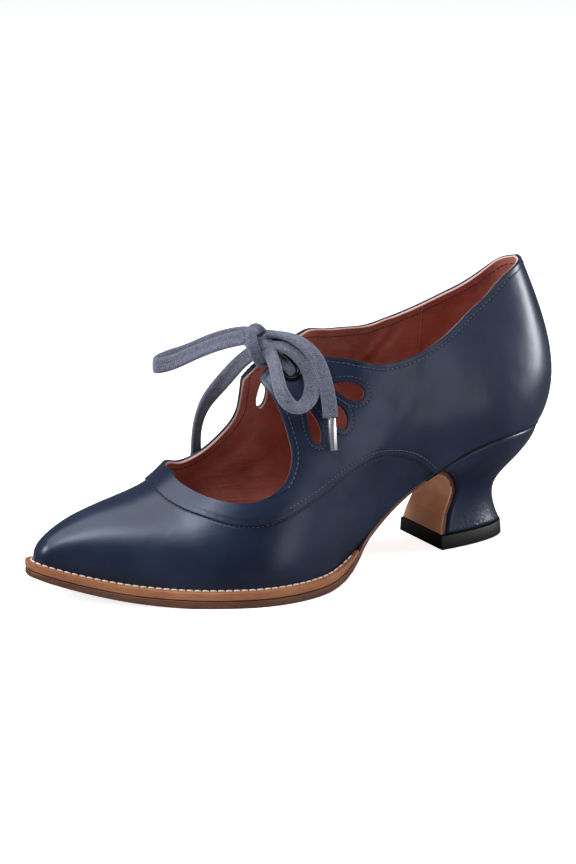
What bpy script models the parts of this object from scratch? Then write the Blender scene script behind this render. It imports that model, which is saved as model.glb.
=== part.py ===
# A laced pump for the left foot, standing empty on its top lift and its forepart.
# Metres. +X runs to the toe, +Y to the outer (lateral) side, +Z up.
# The origin is under the middle of the top lift. The last is the shape inside the upper.
import math

import bmesh
import bpy
import numpy as np
from mathutils import Vector
from mathutils.geometry import delaunay_2d_cdt

# The clearance that pieces keep where they meet
GAP = 0.0003

# The last
LAST_LENGTH = 0.224
BALL_WIDTH = 0.0785
UPPER_RISE = 0.078
SEAT_HEIGHT = 0.0504
TOE_SPRING = 0.008
HEEL_POINT = -0.0325

# The upper's leather, and the overlay's step over the toe part
VAMP_WALL = 0.0016
OVERLAY_STEP = 0.0008
SEAM_BEVEL = 0.0002
PATTERN_MESH = 0.0046
CUTOUT_MESH = 0.0030
CUTOUT_WIDTH = 0.0066

# Bottom
OUTSOLE_THICK = 0.0033
WELT_THICK = 0.0032
EDGE_REACH = 0.0049
WELT_INSET = 0.0055
WELT_TOE_INSET = 0.55    # share of WELT_INSET at the toe's point
INSOLE_THICK = 0.0025
INSOLE_CLEARANCE = 0.0005
INSOLE_TOE_SHARE = 3.0    # times INSOLE_CLEARANCE at the toe's point
SOLE_COLUMNS = 4

# Heel and top lift
LIFT_THICK = 0.006
LIFT_LENGTH = 0.038
LIFT_WIDTH = 0.0326
LIFT_FLARE = 0.0005
FLAP_THICK = 0.0022
FLAP_INSET = 0.0006
HEEL_COLUMNS = 22

# Eyelets
EYELET_BORE = 0.0020
EYELET_BARREL = 0.0026
EYELET_RIM = 0.0042
EYELET_RIM_HEIGHT = 0.0010
EYELET_HOLE = 0.0030
EYELET_SIDES = 12

# Lace
LACE_RADIUS = 0.0019
LACE_TIP_RADIUS = 0.0016
LACE_TIP_LENGTH = 0.0115
KNOT_CENTRE = (0.0955, -0.0010, 0.0950)
KNOT_HALF = (0.0062, 0.0058, 0.0053)
KNOT_GAP = 0.0013    # from the knot to the middle of a cord's flat end
BAR_RADIUS = 0.0017
BAR_OVERRUN = 0.08    # share of the run between the eyelets that the bar reaches past each

# Ribs of the last, from the back of the heel to the toe. A rib runs from the feather line
# up to the top line. Lengths along are shares of LAST_LENGTH, lengths across and outwards
# shares of BALL_WIDTH, the top's rise a share of UPPER_RISE, and belly_up and
# shoulder_down shares of the rib's own height.
RIB_COLUMNS = ("along", "lateral", "medial", "top_along", "top_half", "top_rise",
               "ridge_side", "belly_out", "belly_up", "shoulder_out", "shoulder_down")
RIBS = (
    (0.000, 0.000, 0.000, 0.051, 0.000, 1.010, 0.000, 0.210, 0.27, 0.172, 0.38),
    (0.010, 0.132, 0.132, 0.058, 0.052, 1.003, 0.000, 0.178, 0.27, 0.146, 0.38),
    (0.038, 0.234, 0.232, 0.076, 0.090, 0.989, 0.000, 0.121, 0.27, 0.115, 0.38),
    (0.079, 0.306, 0.301, 0.114, 0.111, 0.978, 0.000, 0.076, 0.27, 0.087, 0.38),
    (0.132, 0.348, 0.341, 0.158, 0.118, 0.970, 0.000, 0.051, 0.27, 0.076, 0.38),
    (0.208, 0.348, 0.336, 0.225, 0.127, 0.990, 0.000, 0.051, 0.26, 0.108, 0.36),
    (0.283, 0.331, 0.312, 0.297, 0.131, 1.048, 0.000, 0.057, 0.26, 0.140, 0.31),
    (0.355, 0.329, 0.280, 0.364, 0.127, 1.087, 0.000, 0.064, 0.26, 0.159, 0.22),
    (0.417, 0.363, 0.274, 0.422, 0.108, 1.098, 0.000, 0.064, 0.26, 0.166, 0.12),
    (0.475, 0.420, 0.299, 0.471, 0.064, 1.093, 0.000, 0.057, 0.26, 0.172, 0.05),
    (0.529, 0.475, 0.350, 0.518, 0.019, 1.090, 0.000, 0.045, 0.27, 0.178, 0.01),
    (0.578, 0.510, 0.401, 0.560, 0.000, 1.030, 0.000, 0.038, 0.28, 0.178, 0.00),
    (0.627, 0.522, 0.446, 0.605, 0.000, 0.920, 0.000, 0.032, 0.30, 0.178, 0.00),
    (0.676, 0.501, 0.475, 0.650, 0.000, 0.782, -0.013, 0.028, 0.33, 0.191, 0.00),
    (0.725, 0.446, 0.482, 0.694, 0.000, 0.635, -0.032, 0.025, 0.38, 0.204, 0.00),
    (0.775, 0.369, 0.466, 0.743, 0.000, 0.485, -0.051, 0.025, 0.42, 0.217, 0.00),
    (0.824, 0.274, 0.431, 0.797, 0.000, 0.399, -0.074, 0.025, 0.46, 0.204, 0.00),
    (0.868, 0.185, 0.389, 0.848, 0.000, 0.346, -0.094, 0.023, 0.50, 0.172, 0.00),
    (0.908, 0.099, 0.341, 0.895, 0.000, 0.290, -0.112, 0.020, 0.52, 0.140, 0.00),
    (0.944, 0.023, 0.292, 0.935, 0.000, 0.224, -0.124, 0.017, 0.53, 0.108, 0.00),
    (0.971, -0.033, 0.237, 0.967, 0.000, 0.158, -0.127, 0.013, 0.54, 0.076, 0.00),
    (0.990, -0.076, 0.189, 0.988, 0.000, 0.091, -0.127, 0.009, 0.55, 0.046, 0.00),
    (1.000, -0.127, 0.127, 1.000, 0.000, 0.000, -0.127, 0.000, 0.55, 0.000, 0.00),
)
RIDGE_START = 0.52    # ahead of this share of the length the two sides' ribs meet on a ridge

# Height of the feather line over the forepart's level: shares of the seat's rise and of
# the toe's spring
FOOT_COLUMNS = ("along", "seat", "spring")
FOOT_LINE = (
    (-0.020, 0.980, 0.000),
    (0.000, 0.990, 0.000),
    (0.025, 1.000, 0.000),
    (0.056, 1.004, 0.000),
    (0.105, 1.000, 0.000),
    (0.163, 0.963, 0.000),
    (0.208, 0.894, 0.000),
    (0.248, 0.797, 0.000),
    (0.277, 0.714, 0.000),
    (0.315, 0.617, 0.000),
    (0.350, 0.513, 0.000),
    (0.400, 0.353, 0.000),
    (0.449, 0.196, 0.000),
    (0.484, 0.097, 0.000),
    (0.520, 0.030, 0.000),
    (0.556, 0.005, 0.000),
    (0.592, 0.000, 0.000),
    (0.703, 0.000, -0.012),
    (0.815, 0.000, 0.025),
    (0.882, 0.000, 0.188),
    (0.949, 0.000, 0.562),
    (1.002, 0.000, 1.000),
    (1.030, 0.000, 1.270),
)

# Lines of the pattern: along is a share of the feather line from the heel's back to the
# toe, up a share of the rib there
LINE_COLUMNS = ("along", "up")
KEYHOLE_LATERAL = (
    (0.7495, 1.000), (0.743, 0.881), (0.730, 0.757), (0.713, 0.632), (0.695, 0.540),
    (0.677, 0.477), (0.658, 0.435), (0.638, 0.411), (0.624, 0.404), (0.609, 0.408),
    (0.597, 0.421), (0.587, 0.449), (0.581, 0.480), (0.579, 0.512), (0.580, 0.558),
    (0.582, 0.625), (0.585, 0.690), (0.589, 0.765), (0.594, 0.840),
)
KEYHOLE_MEDIAL = (
    (0.7495, 1.000), (0.743, 0.881), (0.730, 0.757), (0.713, 0.640), (0.695, 0.552),
    (0.676, 0.480), (0.661, 0.448), (0.645, 0.436), (0.629, 0.438), (0.615, 0.452),
    (0.601, 0.478), (0.588, 0.514), (0.583, 0.557), (0.585, 0.615), (0.589, 0.675),
    (0.594, 0.735), (0.599, 0.800), (0.602, 0.850),
)
TAB_LATERAL = (
    (0.593, 0.885), (0.580, 0.905), (0.558, 0.912), (0.534, 0.910), (0.516, 0.898),
    (0.504, 0.868),
)
TAB_MEDIAL = (
    (0.600, 0.893), (0.585, 0.915), (0.560, 0.922), (0.534, 0.925), (0.512, 0.918),
    (0.494, 0.898),
)
COLLAR_LATERAL = (
    (0.493, 0.829), (0.461, 0.773), (0.419, 0.696), (0.373, 0.643), (0.331, 0.628),
    (0.289, 0.638), (0.246, 0.665), (0.199, 0.722), (0.148, 0.785), (0.121, 0.832),
    (0.087, 0.872), (0.045, 0.892),
)
COLLAR_MEDIAL = (
    (0.474, 0.864), (0.443, 0.818), (0.399, 0.744), (0.353, 0.695), (0.314, 0.667),
    (0.274, 0.659), (0.237, 0.663), (0.200, 0.681), (0.162, 0.710), (0.122, 0.745),
    (0.087, 0.802), (0.045, 0.872),
)
COLLAR_BACK = (0.000, 0.896)
OVERLAY_SEAM = (
    (0.300, 0.000), (0.3295, 0.145), (0.370, 0.253), (0.414, 0.319), (0.459, 0.351),
    (0.503, 0.350), (0.543, 0.326), (0.583, 0.307), (0.630, 0.303), (0.671, 0.347),
    (0.697, 0.412), (0.721, 0.510), (0.746, 0.640), (0.772, 0.825), (0.786, 1.000),
)

# Teardrops fanned round the eyelet: the pointed end and the round end
CUTOUT_COLUMNS = ("tip_along", "tip_up", "end_along", "end_up")
CUTOUTS_LATERAL = (
    (0.499, 0.706, 0.430, 0.589), (0.507, 0.640, 0.474, 0.512), (0.543, 0.645, 0.531, 0.490),
)
CUTOUTS_MEDIAL = (
    (0.499, 0.766, 0.430, 0.646), (0.512, 0.698, 0.474, 0.572), (0.552, 0.712, 0.537, 0.535),
)
EYELET_LATERAL = (0.5516, 0.795)
EYELET_MEDIAL = (0.5516, 0.822)

# The sole: how far its edge stands out, and how thick its two layers are, as shares of
# EDGE_REACH, OUTSOLE_THICK and WELT_THICK
SOLE_COLUMNS_NAMES = ("along", "edge", "outsole", "welt")
SOLE_ROWS = (
    (0.270, -0.30, 0.66, 0.00),
    (0.310, 0.00, 0.70, 0.00),
    (0.355, 0.15, 0.70, 0.00),
    (0.400, 0.32, 0.74, 0.00),
    (0.430, 0.42, 0.82, 0.00),
    (0.449, 0.60, 0.88, 0.14),
    (0.465, 0.80, 0.95, 0.55),
    (0.490, 0.95, 1.00, 0.90),
    (0.530, 1.00, 1.00, 1.00),
    (0.800, 1.00, 1.00, 1.00),
    (1.000, 1.00, 0.80, 1.00),
    (1.100, 1.00, 0.80, 1.00),
)
WELT_END = 0.449
SOLE_BREAK = 0.272

# The heel from the lift up to the seat: places along as shares of LIFT_LENGTH, heights as
# shares of the way up, half widths as shares of BALL_WIDTH, and how far the section has
# turned into the seat's own outline
HEEL_SECTION_COLUMNS = ("front", "front_up", "back", "back_up", "half", "seat")
HEEL_SECTIONS = (
    (0.474, 0.000, -0.508, 0.000, 0.204, 0.00),
    (0.455, 0.115, -0.453, 0.093, 0.193, 0.00),
    (0.412, 0.287, -0.411, 0.222, 0.178, 0.00),
    (0.345, 0.436, -0.403, 0.338, 0.171, 0.00),
    (0.321, 0.539, -0.434, 0.436, 0.176, 0.03),
    (0.353, 0.632, -0.513, 0.541, 0.199, 0.10),
    (0.437, 0.763, -0.626, 0.669, 0.242, 0.27),
    (0.547, 0.869, -0.753, 0.815, 0.285, 0.52),
    (0.684, 0.935, -0.858, 0.930, 0.318, 0.80),
    (0.745, 1.000, -0.910, 1.000, 0.340, 1.00),
)

# Free lace: places chosen along each route, in metres
LOOP_MEDIAL = (
    (0.0986, -0.0062, 0.0990), (0.1015, -0.0110, 0.0992), (0.1045, -0.0180, 0.0972),
    (0.1080, -0.0250, 0.0937), (0.1125, -0.0315, 0.0897), (0.1175, -0.0370, 0.0860),
    (0.1220, -0.0405, 0.0825), (0.1240, -0.0415, 0.0793), (0.1215, -0.0400, 0.0772),
    (0.1165, -0.0360, 0.0792), (0.1115, -0.0305, 0.0828), (0.1070, -0.0245, 0.0864),
    (0.1035, -0.0175, 0.0896), (0.1008, -0.0115, 0.0918), (0.0990, -0.0075, 0.0932),
)
LOOP_LATERAL = (
    (0.0925, 0.0048, 0.0985), (0.0910, 0.0085, 0.0968), (0.0888, 0.0125, 0.0928),
    (0.0866, 0.0162, 0.0880), (0.0853, 0.0198, 0.0826), (0.0856, 0.0230, 0.0775),
    (0.0886, 0.0252, 0.0738), (0.0932, 0.0252, 0.0735), (0.0968, 0.0236, 0.0776),
    (0.0980, 0.0198, 0.0832), (0.0976, 0.0148, 0.0880), (0.0982, 0.0104, 0.0908),
    (0.0986, 0.0068, 0.0918),
)
TAIL_MEDIAL = (
    (0.0990, -0.0030, 0.0890), (0.1002, -0.0080, 0.0868), (0.1008, -0.0130, 0.0838),
    (0.1018, -0.0180, 0.0795), (0.1036, -0.0225, 0.0738), (0.1063, -0.0265, 0.0675),
    (0.1080, -0.0297, 0.0612), (0.1088, -0.0318, 0.0541), (0.1084, -0.0338, 0.0467),
    (0.1078, -0.0356, 0.0405),
)
TIP_MEDIAL = ((0.1077, -0.0359, 0.0401), (0.1066, -0.0392, 0.0291))
TAIL_LATERAL = (
    (0.0905, -0.0006, 0.1003), (0.0870, 0.0044, 0.1014), (0.0838, 0.0110, 0.0972),
    (0.0812, 0.0160, 0.0925), (0.0796, 0.0202, 0.0862), (0.0789, 0.0236, 0.0797),
    (0.0792, 0.0264, 0.0737), (0.0796, 0.0284, 0.0680),
)
TIP_LATERAL = ((0.0796, 0.0286, 0.0676), (0.0812, 0.0318, 0.0567))
CORD_SPACING = 0.0045

SIDES = {"lateral": 1.0, "medial": -1.0}


def columns(names, rows):
    return dict(zip(names, np.array(rows, float).T))


def bend_rates(knots, rows, flat):
    # Second derivatives of the cubic through the rows. Columns marked flat level off at
    # both ends, and the others run out straight.
    count, steps = len(knots), np.diff(knots)
    rates = np.zeros_like(rows)
    for level in (True, False):
        chosen = [i for i, mark in enumerate(flat) if mark == level]
        if not chosen:
            continue
        y = rows[:, chosen]
        matrix = np.zeros((count, count))
        right = np.zeros((count, len(chosen)))
        for i in range(1, count - 1):
            matrix[i, i - 1:i + 2] = steps[i - 1], 2 * (steps[i - 1] + steps[i]), steps[i]
            right[i] = 6 * ((y[i + 1] - y[i]) / steps[i] - (y[i] - y[i - 1]) / steps[i - 1])
        if level:
            matrix[0, :2] = 2 * steps[0], steps[0]
            matrix[-1, -2:] = steps[-1], 2 * steps[-1]
            right[0] = 6 * (y[1] - y[0]) / steps[0]
            right[-1] = -6 * (y[-1] - y[-2]) / steps[-1]
        else:
            matrix[0, 0] = matrix[-1, -1] = 1
        rates[:, chosen] = np.linalg.solve(matrix, right)
    return rates


class Curve:
    # A smooth line through rows of values.

    def __init__(self, knots, rows, flat=None):
        self.knots = np.asarray(knots, float)
        self.rows = np.asarray(rows, float)
        self.rates = bend_rates(self.knots, self.rows, flat or [False] * self.rows.shape[1])

    def at(self, places):
        places = np.atleast_1d(np.asarray(places, float))
        i = np.clip(np.searchsorted(self.knots, places) - 1, 0, len(self.knots) - 2)
        step = (self.knots[i + 1] - self.knots[i])[:, None]
        before = (self.knots[i + 1] - places)[:, None] / step
        after = 1 - before
        bends = (before ** 3 - before) * self.rates[i] + (after ** 3 - after) * self.rates[i + 1]
        return before * self.rows[i] + after * self.rows[i + 1] + bends * step ** 2 / 6


def through(points):
    # A smooth line through points, measured by the distance between them.
    points = np.asarray(points, float)
    lengths = np.linalg.norm(np.diff(points, axis=0), axis=1)
    return Curve(np.concatenate([[0], np.cumsum(lengths)]), points)


def even_points(curve, spacing):
    # Places along a smooth line at about the given distance, both ends included.
    fine = np.linspace(curve.knots[0], curve.knots[-1], 600)
    track = curve.at(fine)
    length = np.concatenate([[0], np.cumsum(np.linalg.norm(np.diff(track, axis=0), axis=1))])
    count = max(2, int(round(length[-1] / spacing)) + 1)
    return curve.at(np.interp(np.linspace(0, length[-1], count), length, fine))


class Last:
    # The shape inside the upper. A place on it is w, from -1 at the toe along the medial
    # side, 0 at the heel's back, to 1 at the toe along the lateral side, and v, from 0 on
    # the feather line to 1 on the top line.

    def __init__(self):
        self.base = OUTSOLE_THICK + WELT_THICK + 2 * GAP
        foot = columns(FOOT_COLUMNS, FOOT_LINE)
        rise = (SEAT_HEIGHT - self.base) * foot["seat"] + TOE_SPRING * foot["spring"]
        self.foot_curve = Curve(self.along_x(foot["along"]), (self.base + rise)[:, None])
        rib = columns(RIB_COLUMNS, RIBS)
        outline = np.stack([self.along_x(rib["along"]), rib["lateral"] * BALL_WIDTH], 1)
        steps = np.linalg.norm(np.diff(outline, axis=0), axis=1)
        length = np.concatenate([[0], np.cumsum(steps)])
        self.half_outline = length[-1]
        share = length / length[-1]
        rows = {side: self.rib_rows(rib, side) for side in SIDES}
        table = np.concatenate([rows["medial"][:0:-1], rows["lateral"]])
        flat = [True, False, True, False, False, True, True, True, True]
        self.curve = Curve(np.concatenate([-share[:0:-1], share]), table, flat)

    @staticmethod
    def along_x(share):
        return HEEL_POINT + share * LAST_LENGTH

    @staticmethod
    def rib_rows(rib, side):
        sign = SIDES[side]
        return np.stack([
            Last.along_x(rib["along"]), sign * rib[side] * BALL_WIDTH,
            Last.along_x(rib["top_along"]),
            (rib["ridge_side"] + sign * rib["top_half"]) * BALL_WIDTH,
            rib["top_rise"] * UPPER_RISE, rib["belly_out"] * BALL_WIDTH, rib["belly_up"],
            rib["shoulder_out"] * BALL_WIDTH, rib["shoulder_down"]], 1)

    def foot_z(self, x):
        return self.foot_curve.at(x)[:, 0]

    def outward(self, w):
        # Level direction out of the feather line.
        w = np.asarray(w, float)
        step = 1e-4
        ahead = self.curve.at(np.clip(w + step, -1, 1))
        behind = self.curve.at(np.clip(w - step, -1, 1))
        track = (ahead - behind)[:, :2]
        track /= np.linalg.norm(track, axis=1)[:, None]
        out = np.stack([-track[:, 1], track[:, 0]], 1)
        out[np.abs(w) > 1 - 1e-6] = 1, 0
        return out, ahead - behind

    def foot(self, w, out=0.0):
        # Points on the feather line, moved outwards, at the feather's height there.
        w = np.atleast_1d(np.asarray(w, float))
        row = self.curve.at(w)
        flat = row[:, :2] + self.outward(w)[0] * np.reshape(out, (-1, 1))
        return np.column_stack([flat, self.foot_z(flat[:, 0])])

    def frame(self, w):
        # The four guide points of each rib.
        row = self.curve.at(w)
        out, change = self.outward(w)
        foot = np.column_stack([row[:, :2], self.foot_z(row[:, 0])])
        top = row[:, 2:5].copy()
        top[:, 2] += foot[:, 2]
        height = row[:, [4]]
        belly = foot + np.column_stack([out * row[:, [5]], row[:, [6]] * height])
        rise = change[:, 4] + self.foot_z(row[:, 0] + change[:, 0]) - foot[:, 2]
        run = np.where(np.abs(change[:, 2]) > 1e-9, change[:, 2], 1.0)
        slope = np.clip(rise / run, -3, 3)
        ridge_x = self.along_x(RIDGE_START)
        front = np.clip((row[:, 2] - ridge_x) / (0.05 * LAST_LENGTH), 0, 1)
        drop = front * slope * out[:, 0] * row[:, 7] - row[:, 8] * height[:, 0]
        shoulder = top + np.column_stack([out * row[:, [7]], drop])
        return foot, belly, shoulder, top

    def point(self, w, v):
        w = np.atleast_1d(np.asarray(w, float))
        v = np.atleast_1d(np.asarray(v, float))[:, None]
        foot, belly, shoulder, top = self.frame(w)
        return ((1 - v) ** 3 * foot + 3 * (1 - v) ** 2 * v * belly
                + 3 * (1 - v) * v * v * shoulder + v ** 3 * top)

    def normal(self, w, v):
        # Outward direction, level at the feather and shared by both sides on the ridge.
        w = np.atleast_1d(np.asarray(w, float))
        v = np.atleast_1d(np.asarray(v, float))
        normal = self.one_side_normal(w, v)
        ridge = (v > 1 - 1e-6)
        normal[ridge] += self.one_side_normal(-w[ridge], v[ridge])
        normal[:, 2] *= np.clip(v / 0.06, 0, 1)
        pole = np.abs(w) > 1 - 1e-6
        normal[pole] = 1, 0, 0
        return normal / np.linalg.norm(normal, axis=1)[:, None]

    def one_side_normal(self, w, v):
        step = 1e-4
        along = (self.point(np.clip(w + step, -1, 1), v)
                 - self.point(np.clip(w - step, -1, 1), v))
        up = (self.point(w, np.clip(v + step, 0, 1)) - self.point(w, np.clip(v - step, 0, 1)))
        normal = np.cross(up, along)
        return normal / np.maximum(np.linalg.norm(normal, axis=1), 1e-15)[:, None]

    def outer(self, w, v, wall):
        # Points on the upper's outer face.
        w = np.atleast_1d(np.asarray(w, float))
        v = np.atleast_1d(np.asarray(v, float))
        points = self.point(w, v) + self.normal(w, v) * np.reshape(wall, (-1, 1))
        low = v < 1e-6
        points[low, 2] = self.foot_z(points[low, 0])
        return points

    def rib_length(self, w):
        w = np.atleast_1d(np.asarray(w, float))
        shares = np.linspace(0, 1, 25)
        rows = np.stack([self.point(w, np.full(len(w), v)) for v in shares])
        return np.linalg.norm(np.diff(rows, axis=0), axis=2).sum(0)

    def lay_flat(self, places):
        # Pattern places as a flat sheet: along the feather line, and up each rib.
        places = np.asarray(places, float)
        return np.column_stack([places[:, 0] * self.half_outline,
                                places[:, 1] * self.rib_length(places[:, 0])])

    def lift_up(self, sheet):
        # The places of points on the flat sheet.
        w = np.clip(sheet[:, 0] / self.half_outline, -1, 1)
        return np.column_stack([w, np.clip(sheet[:, 1] / self.rib_length(w), 0, 1)])

    def station(self, x_share):
        # Share of the outline where the feather line reaches a place along the last.
        w = np.linspace(0, 1, 2001)
        return float(np.interp(self.along_x(x_share), self.curve.at(w)[:, 0], w))


class Shell:
    # Collects the faces of one solid. Points that coincide are one vertex.

    def __init__(self):
        self.points, self.faces, self.index = [], [], {}

    def vertex(self, point):
        key = tuple(round(float(c) * 1e7) for c in point)
        if key not in self.index:
            self.index[key] = len(self.points)
            self.points.append(tuple(float(c) for c in point))
        return self.index[key]

    def face(self, points):
        corners = []
        for point in points:
            corner = self.vertex(point)
            if corner not in corners:
                corners.append(corner)
        if len(corners) > 2:
            self.faces.append(corners)

    def grid(self, rows, closed=False):
        for near, far in zip(rows[:-1], rows[1:]):
            count = len(near)
            for i in range(count if closed else count - 1):
                j = (i + 1) % count
                self.face([near[i], near[j], far[j], far[i]])

    def build(self, name, material, sharp=35.0):
        mesh = bpy.data.meshes.new(name)
        mesh.from_pydata(self.points, [], self.faces)
        work = bmesh.new()
        work.from_mesh(mesh)
        bmesh.ops.recalc_face_normals(work, faces=work.faces)
        if work.calc_volume(signed=True) < 0:
            bmesh.ops.reverse_faces(work, faces=work.faces)
        work.to_mesh(mesh)
        work.free()
        mesh.shade_smooth()
        mesh.set_sharp_from_angle(angle=math.radians(sharp))
        piece = bpy.data.objects.new(name, mesh)
        bpy.context.scene.collection.objects.link(piece)
        mesh.materials.append(material)
        return piece


def finish(name, colour, roughness, metallic=0.0):
    material = bpy.data.materials.new(name)
    material.use_nodes = True
    shader = material.node_tree.nodes["Principled BSDF"]
    shader.inputs["Base Color"].default_value = (*colour, 1.0)
    shader.inputs["Roughness"].default_value = roughness
    shader.inputs["Metallic"].default_value = metallic
    material.diffuse_color = (*colour, 1.0)
    return material


def inside(points, polygon):
    # Which points lie inside a closed outline.
    points = np.asarray(points, float)
    x, y = points[:, 0], points[:, 1]
    hit = np.zeros(len(points), bool)
    for (x1, y1), (x2, y2) in zip(polygon, np.roll(polygon, -1, axis=0)):
        if y1 == y2:
            continue
        crosses = (y1 > y) != (y2 > y)
        hit ^= crosses & (x < (x2 - x1) * (y - y1) / (y2 - y1) + x1)
    return hit


def near_points(points, others, distance):
    # Which points lie nearer than a distance to any of the others.
    close = np.zeros(len(points), bool)
    for other in others:
        close |= np.hypot(points[:, 0] - other[0], points[:, 1] - other[1]) < distance
    return close


def pattern_line(last, rows, side, spacing):
    # A smooth line of the pattern on one side, as places at an even spacing.
    places = np.array(rows, float)
    places[:, 0] *= SIDES[side]
    return last.lift_up(even_points(through(last.lay_flat(places)), spacing))


def feather_stations(last):
    # Shares of the outline where every solid along the feather line has its corners.
    spacing = PATTERN_MESH / last.half_outline
    shares = list(np.arange(0, 0.93, spacing))
    return np.array(shares + list(np.linspace(shares[-1] + spacing, 1, 10)))


def seam_lines(last):
    # The overlay's edge on the flat sheet: one line on each side of its small bevel.
    line = even_points(through(last.lay_flat(OVERLAY_SEAM)), PATTERN_MESH)
    track = np.gradient(line, axis=0)
    across = np.stack([-track[:, 1], track[:, 0]], 1)
    across /= np.linalg.norm(across, axis=1)[:, None]
    below = last.lift_up(line - across * SEAM_BEVEL)
    above = last.lift_up(line + across * SEAM_BEVEL)
    for places in (below, above):
        places[0, 1], places[-1, 1] = 0, 1
    below[0, 0] += SEAM_BEVEL / last.half_outline
    above[-1, 0] -= SEAM_BEVEL / last.half_outline
    return below, above


def teardrop(last, row, side):
    # A cut-out's outline on the flat sheet, from its pointed end round its round end.
    tip_along, tip_up, end_along, end_up = row
    ends = last.lay_flat([(SIDES[side] * tip_along, tip_up), (SIDES[side] * end_along, end_up)])
    axis = ends[1] - ends[0]
    length = np.linalg.norm(axis)
    axis = axis / length
    across = np.array([-axis[1], axis[0]])
    count = int(round(2.2 * length / CUTOUT_MESH))
    outline = []
    for turn in np.arange(count) * 2 * math.pi / count:
        swell = math.sin(turn) * math.sin(turn / 2) ** 1.3
        outline.append(ends[0] + axis * length * (1 - math.cos(turn)) / 2
                       + across * CUTOUT_WIDTH / 1.62 * swell)
    return np.array(outline)


def eyelet_hole(last, place, side):
    # A hole that is round on the last, as an outline on the flat sheet.
    w, v, step = SIDES[side] * place[0], place[1], 1e-3
    slopes = np.array([(last.point(w + step, v) - last.point(w - step, v))[0],
                       (last.point(w, v + step) - last.point(w, v - step))[0]]) / (2 * step)
    first = slopes[0] / np.linalg.norm(slopes[0])
    second = np.cross(last.normal(w, v)[0], first)
    turns = np.arange(EYELET_SIDES) * 2 * math.pi / EYELET_SIDES
    circle = EYELET_HOLE * (np.outer(np.cos(turns), first) + np.outer(np.sin(turns), second))
    moves = np.linalg.lstsq(slopes.T, circle.T, rcond=None)[0].T
    return last.lay_flat(np.array([w, v]) + moves)


def upper_pattern(last):
    # Corners of the cut leather in order round its edge, its holes, its seam lines, and
    # the stations where the edge starts and stops being the feather line and the ridge.
    below, above = seam_lines(last)
    seam_foot, seam_ridge = (below[0, 0], above[0, 0]), (below[-1, 0], above[-1, 0])
    shares = np.concatenate([feather_stations(last), seam_foot])
    foot = np.unique(np.round(np.concatenate([-shares, shares]), 9))
    front = KEYHOLE_LATERAL[0][0]
    ridge = np.linspace(1, front, int(round((1 - front) * last.half_outline / PATTERN_MESH)) + 1)
    ridge = ridge[1:-1]
    near_seam = np.abs(ridge - np.mean(seam_ridge)) < 0.4 * PATTERN_MESH / last.half_outline
    ridge = np.sort(np.concatenate([ridge[~near_seam], seam_ridge]))[::-1]
    edge = [(w, 0.0) for w in foot]
    edge += [(w, 1.0) for w in ridge]
    opening = {}
    for side, keyhole, tab, collar in (("lateral", KEYHOLE_LATERAL, TAB_LATERAL, COLLAR_LATERAL),
                                       ("medial", KEYHOLE_MEDIAL, TAB_MEDIAL, COLLAR_MEDIAL)):
        opening[side] = pattern_line(last, keyhole + tab + collar + (COLLAR_BACK,), side,
                                     PATTERN_MESH)
        opening[side][0, 1] = 1
    edge += [tuple(p) for p in opening["lateral"]]
    edge += [tuple(p) for p in opening["medial"][-2::-1]]
    edge += [(-w, 1.0) for w in ridge[::-1]]
    holes = [teardrop(last, row, side) for side, rows in
             (("lateral", CUTOUTS_LATERAL), ("medial", CUTOUTS_MEDIAL)) for row in rows]
    holes += [eyelet_hole(last, EYELET_LATERAL, "lateral"),
              eyelet_hole(last, EYELET_MEDIAL, "medial")]
    seams = []
    for lines in (below, above):
        seams += [lines, lines * (-1, 1)]
    return np.array(edge), [last.lift_up(hole) for hole in holes], seams


def overlay_here(last, places):
    # Which places belong to the quarters and the throat band, over the toe part.
    seam = last.lift_up(even_points(through(last.lay_flat(OVERLAY_SEAM)), PATTERN_MESH / 3))
    height = np.interp(np.abs(places[:, 0]), seam[:, 0], seam[:, 1], left=-1, right=2)
    return places[:, 1] > height


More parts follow.
